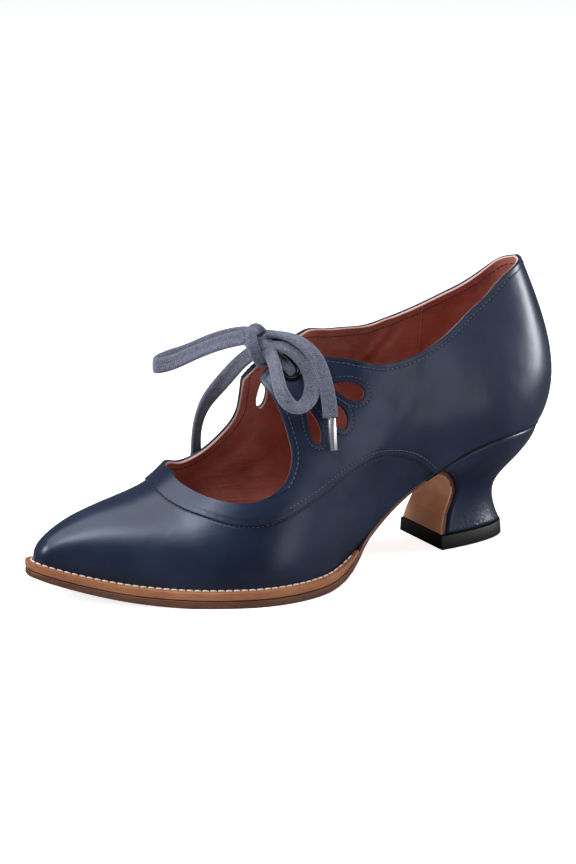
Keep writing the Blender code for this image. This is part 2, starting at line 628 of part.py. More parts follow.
def cut_pattern(last):
    # The flat leather as triangles: places, corner lists, and the wall at each place.
    edge, holes, seams = upper_pattern(last)
    places, links, walls = [], [], []
    thin, thick = VAMP_WALL, VAMP_WALL + OVERLAY_STEP

    def add(line, closed, wall=None):
        first = len(places)
        overlay = overlay_here(last, line)
        for place, covered in zip(line, overlay):
            places.append(tuple(place))
            walls.append(wall if wall else (thick if covered else thin))
        count = len(line)
        links.extend((first + i, first + (i + 1) % count)
                     for i in range(count if closed else count - 1))

    add(edge, True)
    for hole in holes:
        add(hole, True)
    for line, wall in zip(seams, (thin, thin, thick, thick)):
        add(line, False, wall)
    sheet = last.lay_flat(np.array(places))
    outline = sheet[:len(edge)]
    row_height = PATTERN_MESH * math.sqrt(3) / 2
    grid = []
    rows = int(outline[:, 1].max() / row_height) + 1
    for j in range(rows):
        shift = 0.5 * (j % 2)
        count = int(last.half_outline / PATTERN_MESH) + 1
        grid += [((i + shift) * PATTERN_MESH, (j + 0.5) * row_height)
                 for i in range(-count, count + 1)]
    grid = np.array(grid)
    grid = grid[inside(grid, outline)]
    for hole in holes:
        grid = grid[~inside(grid, last.lay_flat(hole))]
    grid = grid[~near_points(grid, sheet, 0.62 * PATTERN_MESH)]
    inner = last.lift_up(grid)
    covered = overlay_here(last, inner)
    places = np.concatenate([np.array(places), inner])
    walls = np.concatenate([np.array(walls), np.where(covered, thick, thin)])
    sheet = np.concatenate([sheet, grid])
    millimetres = [Vector((x * 1000, y * 1000)) for x, y in sheet]
    result = delaunay_2d_cdt(millimetres, links, [], 0, 1e-5)
    corners, origins = result[2], result[3]
    flat = np.array([tuple(p) for p in result[0]]) / 1000
    middle = np.array([flat[list(face)].mean(axis=0) for face in corners])
    keep = inside(middle, outline)
    for hole in holes:
        keep &= ~inside(middle, last.lay_flat(hole))
    source = [origin[0] for origin in origins]
    triangles = [[source[i] for i in face] for face, kept in zip(corners, keep) if kept]
    return places, walls, triangles


def build_upper(last, material):
    # One hollow leather wall. The two sides are one piece along the ridge.
    places, walls, triangles = cut_pattern(last)
    ridge = places[:, 1] > 1 - 1e-6
    pole = np.abs(places[:, 0]) > 1 - 1e-6
    places[ridge | pole, 0] = np.abs(places[ridge | pole, 0])
    inner = last.point(places[:, 0], places[:, 1])
    outer = last.outer(places[:, 0], places[:, 1], walls)
    shell = Shell()
    used = {}
    for triangle in triangles:
        shell.face([outer[i] for i in triangle])
        shell.face([inner[i] for i in reversed(triangle)])
        for i, j in zip(triangle, triangle[1:] + triangle[:1]):
            key = frozenset((shell.vertex(inner[i]), shell.vertex(inner[j])))
            used.setdefault(key, []).append((i, j))
    for edges in used.values():
        if len(edges) == 1:
            i, j = edges[0]
            shell.face([inner[i], inner[j], outer[j], outer[i]])
    return shell.build("upper", material, sharp=60.0)


def sole_values(x):
    share = (np.asarray(x) - HEEL_POINT) / LAST_LENGTH
    rows = columns(SOLE_COLUMNS_NAMES, SOLE_ROWS)
    return [np.interp(share, rows["along"], rows[name]) for name in ("edge", "outsole", "welt")]


def sole_levels(last, x):
    # Heights of the welt's top, the outsole's top and the outsole's tread.
    edge, outsole, welt = sole_values(x)
    top = last.foot_z(x) - GAP
    seat = top - welt * WELT_THICK - np.where(welt > 0, GAP, 0)
    return top, seat, np.maximum(seat - outsole * OUTSOLE_THICK, 0)


def sole_edge(last, shares, side):
    # The sole's outline on one side.
    w = SIDES[side] * np.asarray(shares)
    x = last.foot(w)[:, 0]
    return last.foot(w, sole_values(x)[0] * EDGE_REACH)


def across(left, right, count):
    return [left + (right - left) * k / count for k in range(count + 1)]


def at_level(points, level):
    # The points moved to the height that a level function gives at their own place.
    points = np.array(points)
    points[:, 2] = level(points[:, 0])
    return list(points)


def loft_plate(shell, rows):
    # A plate from rows of upper points and of lower points, both from left to right.
    rings = [list(upper) + list(lower)[::-1] for upper, lower in rows]
    shell.grid(rings, closed=True)
    for ring in (rings[0], rings[-1]):
        for k in range(len(ring) // 2 - 1):
            shell.face([ring[k], ring[k + 1], ring[-2 - k], ring[-1 - k]])


def breast_line(last):
    # The flap's front face from the waist down to the lift: places along and up, half
    # widths, and the level direction into the heel.
    rows = columns(HEEL_SECTION_COLUMNS, HEEL_SECTIONS)
    low = LIFT_THICK + GAP
    x_top = last.along_x(SOLE_BREAK)
    high = float(last.foot_z([x_top])[0]) - GAP
    x = rows["front"] * LIFT_LENGTH
    z = low + rows["front_up"] * (high - low)
    half = rows["half"] * BALL_WIDTH
    x, z, half = x[-2::-1], z[-2::-1], half[-2::-1]
    track = np.gradient(np.stack([x, z], 1), axis=0)
    track[-1] = 0, -1
    track /= np.linalg.norm(track, axis=1)[:, None]
    return x, z, half, np.stack([track[:, 1], -track[:, 0]], 1)


def build_outsole(last, material):
    # One sole: forepart, waist, and the flap turned down over the heel's front.
    shares = feather_stations(last)
    shares = shares[shares > last.station(SOLE_BREAK)][::-1]
    left = sole_edge(last, shares, "lateral")
    right = sole_edge(last, shares, "medial")
    rows = []
    for a, b in zip(left, right):
        line = across(a, b, SOLE_COLUMNS)
        rows.append((at_level(line, lambda x: sole_levels(last, x)[1]),
                     at_level(line, lambda x: sole_levels(last, x)[2])))
    x, z, half, normal = breast_line(last)
    half = half - FLAP_INSET
    for i in range(len(x)):
        front = np.array([x[i], 0, z[i]])
        back = front + FLAP_THICK * np.array([normal[i, 0], 0, normal[i, 1]])
        wide = np.array([0, half[i], 0])
        rows.append((across(back + wide, back - wide, SOLE_COLUMNS),
                     across(front + wide, front - wide, SOLE_COLUMNS)))
    shell = Shell()
    loft_plate(shell, rows)
    return shell.build("outsole", material, sharp=40.0)


def build_welt(last, material):
    # A strip round the forepart, open at the waist.
    shares = feather_stations(last)
    shares = shares[shares > last.station(WELT_END)]
    w = np.concatenate([shares, -shares[-2::-1]])
    outline = np.concatenate([sole_edge(last, shares, "lateral"),
                              sole_edge(last, shares, "medial")[-2::-1]])
    share = (last.foot(w)[:, 0] - HEEL_POINT) / LAST_LENGTH
    inner = last.foot(w, -WELT_INSET * np.interp(share, (0.85, 1.0), (1.0, WELT_TOE_INSET)))
    rings = []
    for out, into in zip(outline, inner):
        ring = []
        for point in (out, into):
            top, seat, _ = sole_levels(last, np.array([point[0]]))
            welt = sole_values(np.array([point[0]]))[2]
            levels = (top[0], top[0] - max(welt[0], 0.05) * WELT_THICK)
            if point is into:
                levels = levels[::-1]
            ring += [np.array([point[0], point[1], level]) for level in levels[::-1]]
        rings.append(ring)
    shell = Shell()
    shell.grid(rings, closed=True)
    shell.face(rings[0])
    shell.face(rings[-1][::-1])
    return shell.build("welt", material, sharp=40.0)


def build_insole(last, material):
    # The board and sock that close the upper's bottom inside.
    shares = feather_stations(last)[::-1]
    rows = []
    room = INSOLE_CLEARANCE * np.interp(shares, (0.96, 1.0), (1.0, INSOLE_TOE_SHARE))
    left = last.foot(shares, -room)
    right = last.foot(-shares, -room)
    for a, b in zip(left, right):
        line = across(a, b, SOLE_COLUMNS)
        rows.append((at_level(line, lambda x: last.foot_z(x) + INSOLE_THICK),
                     at_level(line, last.foot_z)))
    shell = Shell()
    loft_plate(shell, rows)
    return shell.build("insole", material, sharp=50.0)


def d_outline(front, back, half, turns):
    # A heel section: blunt at the front corners, round at the back.
    angle = turns * math.pi / 2
    share = (1 - np.cos(angle)) ** 1.2
    return back + (front - back) * share, half * np.sin(angle), share


def close_cap(shell, ring):
    # Fills a heel section, joining the corners that face each other across it.
    last_index = len(ring) - 1
    for i in range(len(ring) // 2):
        shell.face([ring[i], ring[i + 1], ring[last_index - i - 1], ring[last_index - i]])


def build_heel(last, material):
    # The waisted heel, cupped under the seat, its front hollowed for the flap.
    rows = columns(HEEL_SECTION_COLUMNS, HEEL_SECTIONS)
    turns = np.linspace(1, -1, HEEL_COLUMNS + 1)
    reach = last.station(SOLE_BREAK)
    seat = last.foot(turns * reach, VAMP_WALL + OVERLAY_STEP)
    seat[:, 2] -= GAP
    low = LIFT_THICK + GAP
    front_high, back_high = seat[0, 2], seat[HEEL_COLUMNS // 2, 2]
    x_front, z_front, _, normal = breast_line(last)
    depth = FLAP_THICK + GAP
    fronts = np.stack([x_front, z_front], 1) + depth * normal
    fronts = np.concatenate([fronts[::-1], [[seat[0, 0], front_high]]])
    shell = Shell()
    rings = []
    for i in range(len(HEEL_SECTIONS)):
        back_x = rows["back"][i] * LIFT_LENGTH
        back_z = low + rows["back_up"][i] * (back_high - low)
        front_x, front_z = fronts[i]
        x, y, share = d_outline(front_x, back_x, rows["half"][i] * BALL_WIDTH, turns)
        z = back_z + (front_z - back_z) * share
        section = np.column_stack([x, y, z])
        turned = rows["seat"][i]
        section[:, :2] += (seat[:, :2] - section[:, :2]) * turned
        section[[0, -1], 0] = front_x
        if turned == 1:
            section = seat.copy()
        rings.append(section)
    shell.grid(rings, closed=True)
    close_cap(shell, rings[0])
    close_cap(shell, rings[-1])
    return shell.build("heel", material, sharp=50.0)


def build_top_lift(material):
    # The rubber piece that the heel stands on.
    turns = np.linspace(1, -1, HEEL_COLUMNS + 1)
    shell = Shell()
    rings = []
    for level, flare in ((0.0, LIFT_FLARE), (LIFT_THICK, 0.0)):
        front = LIFT_LENGTH * 0.481
        back = front - LIFT_LENGTH - flare
        x, y, _ = d_outline(front, back, LIFT_WIDTH / 2 + flare, turns)
        rings.append(np.column_stack([x, y, np.full(len(x), level)]))
    shell.grid(rings, closed=True)
    for ring in rings:
        close_cap(shell, ring)
    return shell.build("top_lift", material, sharp=40.0)


def eyelet_axis(last, place, side):
    w, v = SIDES[side] * place[0], place[1]
    wall = VAMP_WALL + OVERLAY_STEP
    return last.outer([w], [v], wall)[0], last.normal([w], [v])[0]


def build_eyelet(last, place, side, material):
    # A rim on the tab and a barrel through it.
    centre, axis = eyelet_axis(last, place, side)
    wall = VAMP_WALL + OVERLAY_STEP
    low, seat = -(wall + GAP), GAP
    top = seat + EYELET_RIM_HEIGHT
    profile = ((EYELET_BORE, low), (EYELET_BARREL, low), (EYELET_BARREL, seat),
               (EYELET_RIM, seat), (EYELET_RIM, seat + 0.4 * EYELET_RIM_HEIGHT),
               (0.8 * EYELET_RIM, top), (0.62 * EYELET_RIM, top),
               (EYELET_BORE, seat + 0.5 * EYELET_RIM_HEIGHT))
    turn = Vector((0, 0, 1)).rotation_difference(Vector(axis)).to_matrix()
    rings = []
    for radius, height in profile:
        ring = []
        for k in range(EYELET_SIDES):
            angle = k * 2 * math.pi / EYELET_SIDES
            spot = Vector((radius * math.cos(angle), radius * math.sin(angle), height))
            ring.append(np.array(turn @ spot) + centre)
        rings.append(ring)
    rings.append(rings[0])
    shell = Shell()
    shell.grid(rings, closed=True)
    return shell.build("eyelet_" + side, material, sharp=50.0)


def build_cord(name, route, radius, material, sides=2):
    # A round cord along a smooth line through its route.
    points = even_points(through(route), CORD_SPACING)
    data = bpy.data.curves.new(name, "CURVE")
    data.dimensions = "3D"
    data.bevel_depth = radius
    data.bevel_resolution = sides
    data.use_fill_caps = True
    line = data.splines.new("POLY")
    line.points.add(len(points) - 1)
    for spot, point in zip(line.points, points):
        spot.co = (*point, 1)
    data.materials.append(material)
    piece = bpy.data.objects.new(name, data)
    bpy.context.scene.collection.objects.link(piece)
    return piece


def build_knot(material):
    # The knot's outer shape over the tabs.
    work = bmesh.new()
    bmesh.ops.create_icosphere(work, subdivisions=3, radius=1.0)
    bmesh.ops.scale(work, vec=KNOT_HALF, verts=work.verts)
    bmesh.ops.translate(work, vec=KNOT_CENTRE, verts=work.verts)
    mesh = bpy.data.meshes.new("lace_knot")
    work.to_mesh(mesh)
    work.free()
    mesh.shade_smooth()
    mesh.materials.append(material)
    piece = bpy.data.objects.new("lace_knot", mesh)
    bpy.context.scene.collection.objects.link(piece)
    return piece


def build_bar(last, material):
    # The lace's run under the two tabs, from eyelet to eyelet.
    ends = []
    for side, place in (("lateral", EYELET_LATERAL), ("medial", EYELET_MEDIAL)):
        centre, axis = eyelet_axis(last, place, side)
        ends.append(centre - axis * (VAMP_WALL + OVERLAY_STEP + 2 * GAP + BAR_RADIUS))
    past = (ends[0] - ends[1]) * BAR_OVERRUN
    route = across(ends[0] + past, ends[1] - past, 3)
    return build_cord("lace_bar", route, BAR_RADIUS, material)


def at_knot(point):
    # The place just off the knot's surface on the way from its middle to a point.
    middle = np.array(KNOT_CENTRE)
    toward = np.array(point) - middle
    toward /= np.linalg.norm(toward)
    surface = 1 / np.linalg.norm(toward / np.array(KNOT_HALF))
    return tuple(middle + toward * (surface + KNOT_GAP))


def build_lead(last, place, side, material):
    # The lace from an eyelet's mouth to the knot.
    mouth, axis = eyelet_axis(last, place, side)
    start = mouth + axis * (2 * GAP + EYELET_RIM_HEIGHT)
    bend = start + axis * LACE_RADIUS
    route = (start, bend, at_knot(bend))
    return build_cord("lace_lead_" + side, route, LACE_RADIUS, material)


def build_lace(last, cotton, metal):
    build_bar(last, cotton)
    build_knot(cotton)
    build_lead(last, EYELET_LATERAL, "lateral", cotton)
    build_lead(last, EYELET_MEDIAL, "medial", cotton)
    for name, loop in (("lace_loop_medial", LOOP_MEDIAL), ("lace_loop_lateral", LOOP_LATERAL)):
        route = (at_knot(loop[0]),) + loop[1:-1] + (at_knot(loop[-1]),)
        build_cord(name, route, LACE_RADIUS, cotton)
    for name, tail in (("lace_tail_medial", TAIL_MEDIAL), ("lace_tail_lateral", TAIL_LATERAL)):
        build_cord(name, (at_knot(tail[0]),) + tail[1:], LACE_RADIUS, cotton)
    for name, route in (("lace_tip_medial", TIP_MEDIAL), ("lace_tip_lateral", TIP_LATERAL)):
        build_cord(name, route, LACE_TIP_RADIUS, metal)


def main():
    for piece in list(bpy.data.objects):
        bpy.data.objects.remove(piece, do_unlink=True)
    leather = finish("leather_navy", (0.020, 0.027, 0.060), 0.32)
    lining = finish("leather_lining", (0.42, 0.11, 0.07), 0.6)
    tan = finish("leather_tan", (0.42, 0.16, 0.06), 0.5)
    sole = finish("leather_sole", (0.12, 0.045, 0.02), 0.55)
    rubber = finish("rubber_black", (0.012, 0.011, 0.011), 0.6)
    metal_black = finish("eyelet_black", (0.012, 0.012, 0.014), 0.25, 1.0)
    cotton = finish("cotton_navy", (0.075, 0.085, 0.15), 0.9)
    silver = finish("tip_silver", (0.75, 0.75, 0.77), 0.3, 1.0)
    last = Last()
    build_upper(last, leather)
    build_insole(last, lining)
    build_welt(last, tan)
    build_outsole(last, sole)
    build_heel(last, leather)
    build_top_lift(rubber)
    build_eyelet(last, EYELET_LATERAL, "lateral", metal_black)
    build_eyelet(last, EYELET_MEDIAL, "medial", metal_black)
    build_lace(last, cotton, silver)


main()
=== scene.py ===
import math

import bmesh
import bpy
import numpy as np
from mathutils import Matrix, Vector
from mathutils.bvhtree import BVHTree
from mathutils.geometry import delaunay_2d_cdt


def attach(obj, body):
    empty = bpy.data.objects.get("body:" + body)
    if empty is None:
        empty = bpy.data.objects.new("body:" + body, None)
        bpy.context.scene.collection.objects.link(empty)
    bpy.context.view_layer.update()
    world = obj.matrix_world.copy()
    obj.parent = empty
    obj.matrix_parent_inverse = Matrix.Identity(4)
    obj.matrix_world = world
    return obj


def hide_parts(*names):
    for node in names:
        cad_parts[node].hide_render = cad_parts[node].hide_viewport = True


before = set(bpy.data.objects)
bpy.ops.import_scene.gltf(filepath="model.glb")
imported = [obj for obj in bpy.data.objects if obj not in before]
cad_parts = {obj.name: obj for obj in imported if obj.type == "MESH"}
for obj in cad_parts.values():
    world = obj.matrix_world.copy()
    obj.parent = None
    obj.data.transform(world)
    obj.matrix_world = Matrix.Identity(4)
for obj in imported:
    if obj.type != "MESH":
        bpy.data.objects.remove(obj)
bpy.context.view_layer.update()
print("frame loaded:", len(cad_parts), "nodes")

# camera: level turn from the outer side towards the toe, rise above the floor, both in degrees
cameraView = {"turn": 29.1, "rise": 15.6, "distance": 1.029, "target": (0.09051, 0.0, 0.05145),
              "lens": 105.0, "shift": (15 / 864, 14 / 864)}


def placeCamera(view):
    turn, rise = math.radians(view["turn"]), math.radians(view["rise"])
    back = Vector((math.sin(turn) * math.cos(rise), math.cos(turn) * math.cos(rise), math.sin(rise)))
    right = Vector((-math.cos(turn), math.sin(turn), 0))
    up = back.cross(right)
    data = bpy.data.cameras.new("camera")
    data.lens = view["lens"]
    data.sensor_width = 36
    data.shift_x, data.shift_y = view["shift"]
    data.clip_start, data.clip_end = 0.01, 20
    camera = bpy.data.objects.new("camera", data)
    bpy.context.scene.collection.objects.link(camera)
    place = Matrix((right, up, back)).transposed().to_4x4()
    place.translation = Vector(view["target"]) + back * view["distance"]
    camera.matrix_world = place
    bpy.context.scene.camera = camera


placeCamera(cameraView)
print("camera placed")


# smooth lines through rows of numbers

def bendRates(knots, rows, level):
    count, steps = len(knots), np.diff(knots)
    rates = np.zeros_like(rows)
    for flat in (True, False):
        chosen = [i for i, mark in enumerate(level) if mark == flat]
        if not chosen:
            continue
        y = rows[:, chosen]
        matrix, right = np.zeros((count, count)), np.zeros((count, len(chosen)))
        for i in range(1, count - 1):
            matrix[i, i - 1:i + 2] = steps[i - 1], 2 * (steps[i - 1] + steps[i]), steps[i]
            right[i] = 6 * ((y[i + 1] - y[i]) / steps[i] - (y[i] - y[i - 1]) / steps[i - 1])
        if flat:
            matrix[0, :2] = 2 * steps[0], steps[0]
            matrix[-1, -2:] = steps[-1], 2 * steps[-1]
            right[0] = 6 * (y[1] - y[0]) / steps[0]
            right[-1] = -6 * (y[-1] - y[-2]) / steps[-1]
        else:
            matrix[0, 0] = matrix[-1, -1] = 1
        rates[:, chosen] = np.linalg.solve(matrix, right)
    return rates


def makeCurve(knots, rows, level=None):
    knots, rows = np.asarray(knots, float), np.asarray(rows, float)
    return {"knots": knots, "rows": rows,
            "rates": bendRates(knots, rows, level or [False] * rows.shape[1])}


def curveAt(curve, places):
    places = np.atleast_1d(np.asarray(places, float))
    knots, rows, rates = curve["knots"], curve["rows"], curve["rates"]
    i = np.clip(np.searchsorted(knots, places) - 1, 0, len(knots) - 2)
    step = (knots[i + 1] - knots[i])[:, None]
    before = (knots[i + 1] - places)[:, None] / step
    after = 1 - before
    bends = (before ** 3 - before) * rates[i] + (after ** 3 - after) * rates[i + 1]
    return before * rows[i] + after * rows[i + 1] + bends * step ** 2 / 6


def curveThrough(points):
    points = np.asarray(points, float)
    lengths = np.linalg.norm(np.diff(points[:, :3], axis=0), axis=1)
    return makeCurve(np.concatenate([[0], np.cumsum(lengths)]), points)


def evenPoints(curve, spacing):
    fine = np.linspace(curve["knots"][0], curve["knots"][-1], 1500)
    steps = np.linalg.norm(np.diff(curveAt(curve, fine)[:, :3], axis=0), axis=1)
    length = np.concatenate([[0], np.cumsum(steps)])
    count = max(2, int(round(length[-1] / spacing)) + 1)
    return curveAt(curve, np.interp(np.linspace(0, length[-1], count), length, fine))


def unit(vectors):
    return vectors / np.maximum(np.linalg.norm(vectors, axis=-1, keepdims=True), 1e-12)


# meshes and materials

def newPiece(name, points, faces, materials, faceSlots=None, smooth=True):
    mesh = bpy.data.meshes.new(name)
    mesh.from_pydata([tuple(map(float, p)) for p in points], [], faces)
    for material in materials:
        mesh.materials.append(material)
    if faceSlots is not None:
        mesh.polygons.foreach_set("material_index", np.asarray(faceSlots, np.int32))
    if smooth:
        mesh.polygons.foreach_set("use_smooth", np.ones(len(faces), bool))
    mesh.update()
    piece = bpy.data.objects.new(name, mesh)
    bpy.context.scene.collection.objects.link(piece)
    return piece


def addNumbers(piece, name, numbers):
    layer = piece.data.attributes.new(name, "FLOAT", "POINT")
    layer.data.foreach_set("value", np.asarray(numbers, np.float32))


def addNode(tree, kind, inputs=None, **settings):
    node = tree.nodes.new(kind)
    for key, value in settings.items():
        setattr(node, key, value)
    for key, value in (inputs or {}).items():
        if isinstance(value, bpy.types.NodeSocket):
            tree.links.new(value, node.inputs[key])
        else:
            node.inputs[key].default_value = value
    return node


def maths(tree, operation, first, second=0.0, third=0.0, clamp=False):
    node = addNode(tree, "ShaderNodeMath", {0: first, 1: second, 2: third}, operation=operation)
    node.use_clamp = clamp
    return node.outputs[0]


def mixColours(tree, share, first, second):
    node = addNode(tree, "ShaderNodeMix", data_type="RGBA")
    for socket, value in ((node.inputs[0], share), (node.inputs[6], first), (node.inputs[7], second)):
        if isinstance(value, bpy.types.NodeSocket):
            tree.links.new(value, socket)
        else:
            socket.default_value = value if not isinstance(value, tuple) else (*value, 1.0)
    return node.outputs[2]


def newGroup(name, inputs, outputs):
    group = bpy.data.node_groups.new(name, "ShaderNodeTree")
    for label, kind, value in inputs:
        socket = group.interface.new_socket(label, in_out="INPUT", socket_type=kind)
        if value is not None:
            socket.default_value = value
    for label, kind in outputs:
        group.interface.new_socket(label, in_out="OUTPUT", socket_type=kind)
    return group, group.nodes.new("NodeGroupInput"), group.nodes.new("NodeGroupOutput")


def makeGrainGroup():
    # pores and soft undulation of leather, in metres of height, and a slow change of tone
    group, entry, outlet = newGroup(
        "leatherGrain",
        [("Vector", "NodeSocketVector", None), ("Pore Scale", "NodeSocketFloat", 1500.0),
         ("Pore Depth", "NodeSocketFloat", 1e-5), ("Wave Scale", "NodeSocketFloat", 90.0),
         ("Wave Depth", "NodeSocketFloat", 1e-4)],
        [("Height", "NodeSocketFloat"), ("Tone", "NodeSocketFloat")])
    vector = entry.outputs["Vector"]
    cells = addNode(group, "ShaderNodeTexVoronoi", {"Vector": vector, "Scale": entry.outputs["Pore Scale"]})
    cells.feature = "SMOOTH_F1"
    fine = addNode(group, "ShaderNodeTexNoise", {"Vector": vector, "Scale": 2600.0, "Detail": 2.0})
    waves = addNode(group, "ShaderNodeTexNoise", {"Vector": vector, "Scale": entry.outputs["Wave Scale"],
                                                 "Detail": 3.0, "Roughness": 0.45})
    tone = addNode(group, "ShaderNodeTexNoise", {"Vector": vector, "Scale": 38.0, "Detail": 4.0,
                                                "Roughness": 0.55})
    pores = maths(group, "MULTIPLY", fine.outputs["Fac"], 0.6)
    pores = maths(group, "ADD", cells.outputs["Distance"], pores)
    poreHeight = maths(group, "MULTIPLY", pores, entry.outputs["Pore Depth"])
    height = maths(group, "MULTIPLY_ADD", waves.outputs["Fac"], entry.outputs["Wave Depth"], poreHeight)
    group.links.new(height, outlet.inputs["Height"])
    group.links.new(tone.outputs["Fac"], outlet.inputs["Tone"])
    return group


def makeGrooveGroup():
    # a soft groove along a line that the piece knows its distance from
    group, entry, outlet = newGroup(
        "grooveAlongLine",
        [("Distance", "NodeSocketFloat", 0.0), ("Centre", "NodeSocketFloat", 1.0),
         ("Half Width", "NodeSocketFloat", 1.0), ("Depth", "NodeSocketFloat", 1e-4)],
        [("Height", "NodeSocketFloat"), ("Mask", "NodeSocketFloat")])
    away = maths(group, "SUBTRACT", entry.outputs["Distance"], entry.outputs["Centre"])
    share = maths(group, "DIVIDE", away, entry.outputs["Half Width"])
    square = maths(group, "MULTIPLY", share, share)
    mask = maths(group, "SUBTRACT", 1.0, square, clamp=True)
    soft = maths(group, "MULTIPLY", mask, mask)
    depth = maths(group, "MULTIPLY", entry.outputs["Depth"], -1.0)
    group.links.new(maths(group, "MULTIPLY", soft, depth), outlet.inputs["Height"])
    group.links.new(soft, outlet.inputs["Mask"])
    return group


grainGroup = makeGrainGroup()
grooveGroup = makeGrooveGroup()


def startMaterial(name, roughness, metallic=0.0, coat=0.0, coatRoughness=0.1, specular=0.5):
    material = bpy.data.materials.new(name)
    material.use_nodes = True
    tree = material.node_tree
    shader = tree.nodes["Principled BSDF"]
    shader.inputs["Roughness"].default_value = roughness
    shader.inputs["Metallic"].default_value = metallic
    shader.inputs["Coat Weight"].default_value = coat
    shader.inputs["Coat Roughness"].default_value = coatRoughness
    shader.inputs["Specular IOR Level"].default_value = specular
    place = addNode(tree, "ShaderNodeTexCoord").outputs["Object"]
    return material, tree, shader, place


def addBump(tree, shader, height):
    bump = addNode(tree, "ShaderNodeBump", {"Height": height, "Distance": 1.0, "Strength": 1.0})
    tree.links.new(bump.outputs["Normal"], shader.inputs["Normal"])


def readNumber(tree, name):
    return addNode(tree, "ShaderNodeAttribute", attribute_name=name).outputs["Fac"]


def grainNode(tree, place, values):
    node = addNode(tree, "ShaderNodeGroup", node_tree=grainGroup)
    tree.links.new(place, node.inputs["Vector"])
    for key, value in values.items():
        node.inputs[key].default_value = value
    return node


def grooveNode(tree, distance, centre, halfWidth, depth):
    node = addNode(tree, "ShaderNodeGroup", node_tree=grooveGroup)
    tree.links.new(distance, node.inputs["Distance"])
    for key, value in (("Centre", centre), ("Half Width", halfWidth), ("Depth", depth)):
        node.inputs[key].default_value = value
    return node


# grooves: the place of each in millimetres from the line, its half width and its depth in metres
navyLeather = {
    "dark": (0.0060, 0.0110, 0.0300), "light": (0.0170, 0.0265, 0.0620), "tint": (0.74, 0.83, 1.0, 1.0),
    "roughness": 0.32, "coat": 0.14, "coatRoughness": 0.20,
    "grain": {"Pore Scale": 1500.0, "Pore Depth": 1.5e-5, "Wave Scale": 60.0, "Wave Depth": 3.6e-4},
    "underEdge": (-0.25, 0.62, 8e-5), "seamRows": (1.8, 1.4, 7e-5), "edgeRow": (1.8, 0.9, 7e-5),
    "wrinkleDepth": 2.6e-4}


def makeNavyLeather(name, values, lines):
    material, tree, shader, place = startMaterial(name, values["roughness"], coat=values["coat"],
                                                  coatRoughness=values["coatRoughness"])
    shader.inputs["Specular Tint"].default_value = values["tint"]
    grain = grainNode(tree, place, values["grain"])
    tone = addNode(tree, "ShaderNodeMapRange",
                   {"Value": grain.outputs["Tone"], "From Min": 0.3, "From Max": 0.72})
    colour = mixColours(tree, tone.outputs["Result"], values["dark"], values["light"])
    height = grain.outputs["Height"]
    if lines:
        seam, edge = readNumber(tree, "seamGap"), readNumber(tree, "edgeGap")
        underEdgeGrooveShade = grooveNode(tree, seam, *values["underEdge"])    # the shadow under the overlay's edge
        pressed = grooveNode(tree, seam, *values["seamRows"])    # stitches press the leather in
        around = grooveNode(tree, edge, *values["edgeRow"])
        for groove in (underEdgeGrooveShade, pressed, around):
            height = maths(tree, "ADD", height, groove.outputs["Height"])
        # painted shadow: the leather is darkened along the groove under the overlay's edge
        colour = mixColours(tree, maths(tree, "MULTIPLY", underEdgeGrooveShade.outputs["Mask"], 0.96), colour,
                            (0.002, 0.003, 0.006))
        # painted shade: the leather is darkened in the pressed stitch row beside the cut edge
        colour = mixColours(tree, maths(tree, "MULTIPLY", around.outputs["Mask"], 0.45), colour,
                            (0.004, 0.007, 0.016))
    else:
        # the cover is drawn round the heel's foot and wrinkles there
        level = addNode(tree, "ShaderNodeSeparateXYZ", {"Vector": place}).outputs["Z"]
        low = addNode(tree, "ShaderNodeMapRange", {"Value": level, "From Min": 0.019, "From Max": 0.008})
        wrinkle = addNode(tree, "ShaderNodeTexNoise", {"Vector": place, "Scale": 420.0, "Detail": 3.0,
                                                      "Distortion": 1.5})
        folds = maths(tree, "MULTIPLY", wrinkle.outputs["Fac"], low.outputs["Result"])
        height = maths(tree, "MULTIPLY_ADD", folds, values["wrinkleDepth"], height)
    tree.links.new(colour, shader.inputs["Base Color"])
    rough = addNode(tree, "ShaderNodeMapRange",
                    {"Value": grain.outputs["Tone"], "To Min": values["roughness"] - 0.05,
                     "To Max": values["roughness"] + 0.07})
    tree.links.new(rough.outputs["Result"], shader.inputs["Roughness"])
    addBump(tree, shader, height)
    return material


liningLeather = {
    "dark": (0.33, 0.098, 0.068), "light": (0.70, 0.300, 0.235), "roughness": 0.55,
    "grain": {"Pore Scale": 1150.0, "Pore Depth": 5e-5, "Wave Scale": 70.0, "Wave Depth": 4e-4},
    "folds": (75.0, 75.0, 620.0), "foldTurn": (0.1, 0.35, 0.2), "foldDepth": 2.6e-4,
    "row": (3.0, 0.6, 1.5e-5), "rowShadeColour": (0.16, 0.04, 0.026)}


def makeLining(name, values):
    material, tree, shader, place = startMaterial(name, values["roughness"], specular=0.35)
    grain = grainNode(tree, place, values["grain"])
    stretch = addNode(tree, "ShaderNodeMapping",
                      {"Vector": place, "Scale": values["folds"], "Rotation": values["foldTurn"]})
    folds = addNode(tree, "ShaderNodeTexNoise", {"Vector": stretch.outputs[0], "Scale": 1.0, "Detail": 3.0})
    tone = addNode(tree, "ShaderNodeMapRange",
                   {"Value": grain.outputs["Tone"], "From Min": 0.3, "From Max": 0.7})
    colour = mixColours(tree, tone.outputs["Result"], values["dark"], values["light"])
    row = grooveNode(tree, readNumber(tree, "edgeGap"), *values["row"])
    # painted shade: the lining is darkened along its pressed stitch row
    shade = maths(tree, "MULTIPLY", row.outputs["Mask"], 0.10)
    colour = mixColours(tree, shade, colour, values["rowShadeColour"])
    tree.links.new(colour, shader.inputs["Base Color"])
    height = maths(tree, "MULTIPLY_ADD", folds.outputs["Fac"], values["foldDepth"], grain.outputs["Height"])
    addBump(tree, shader, maths(tree, "ADD", height, row.outputs["Height"]))
    return material


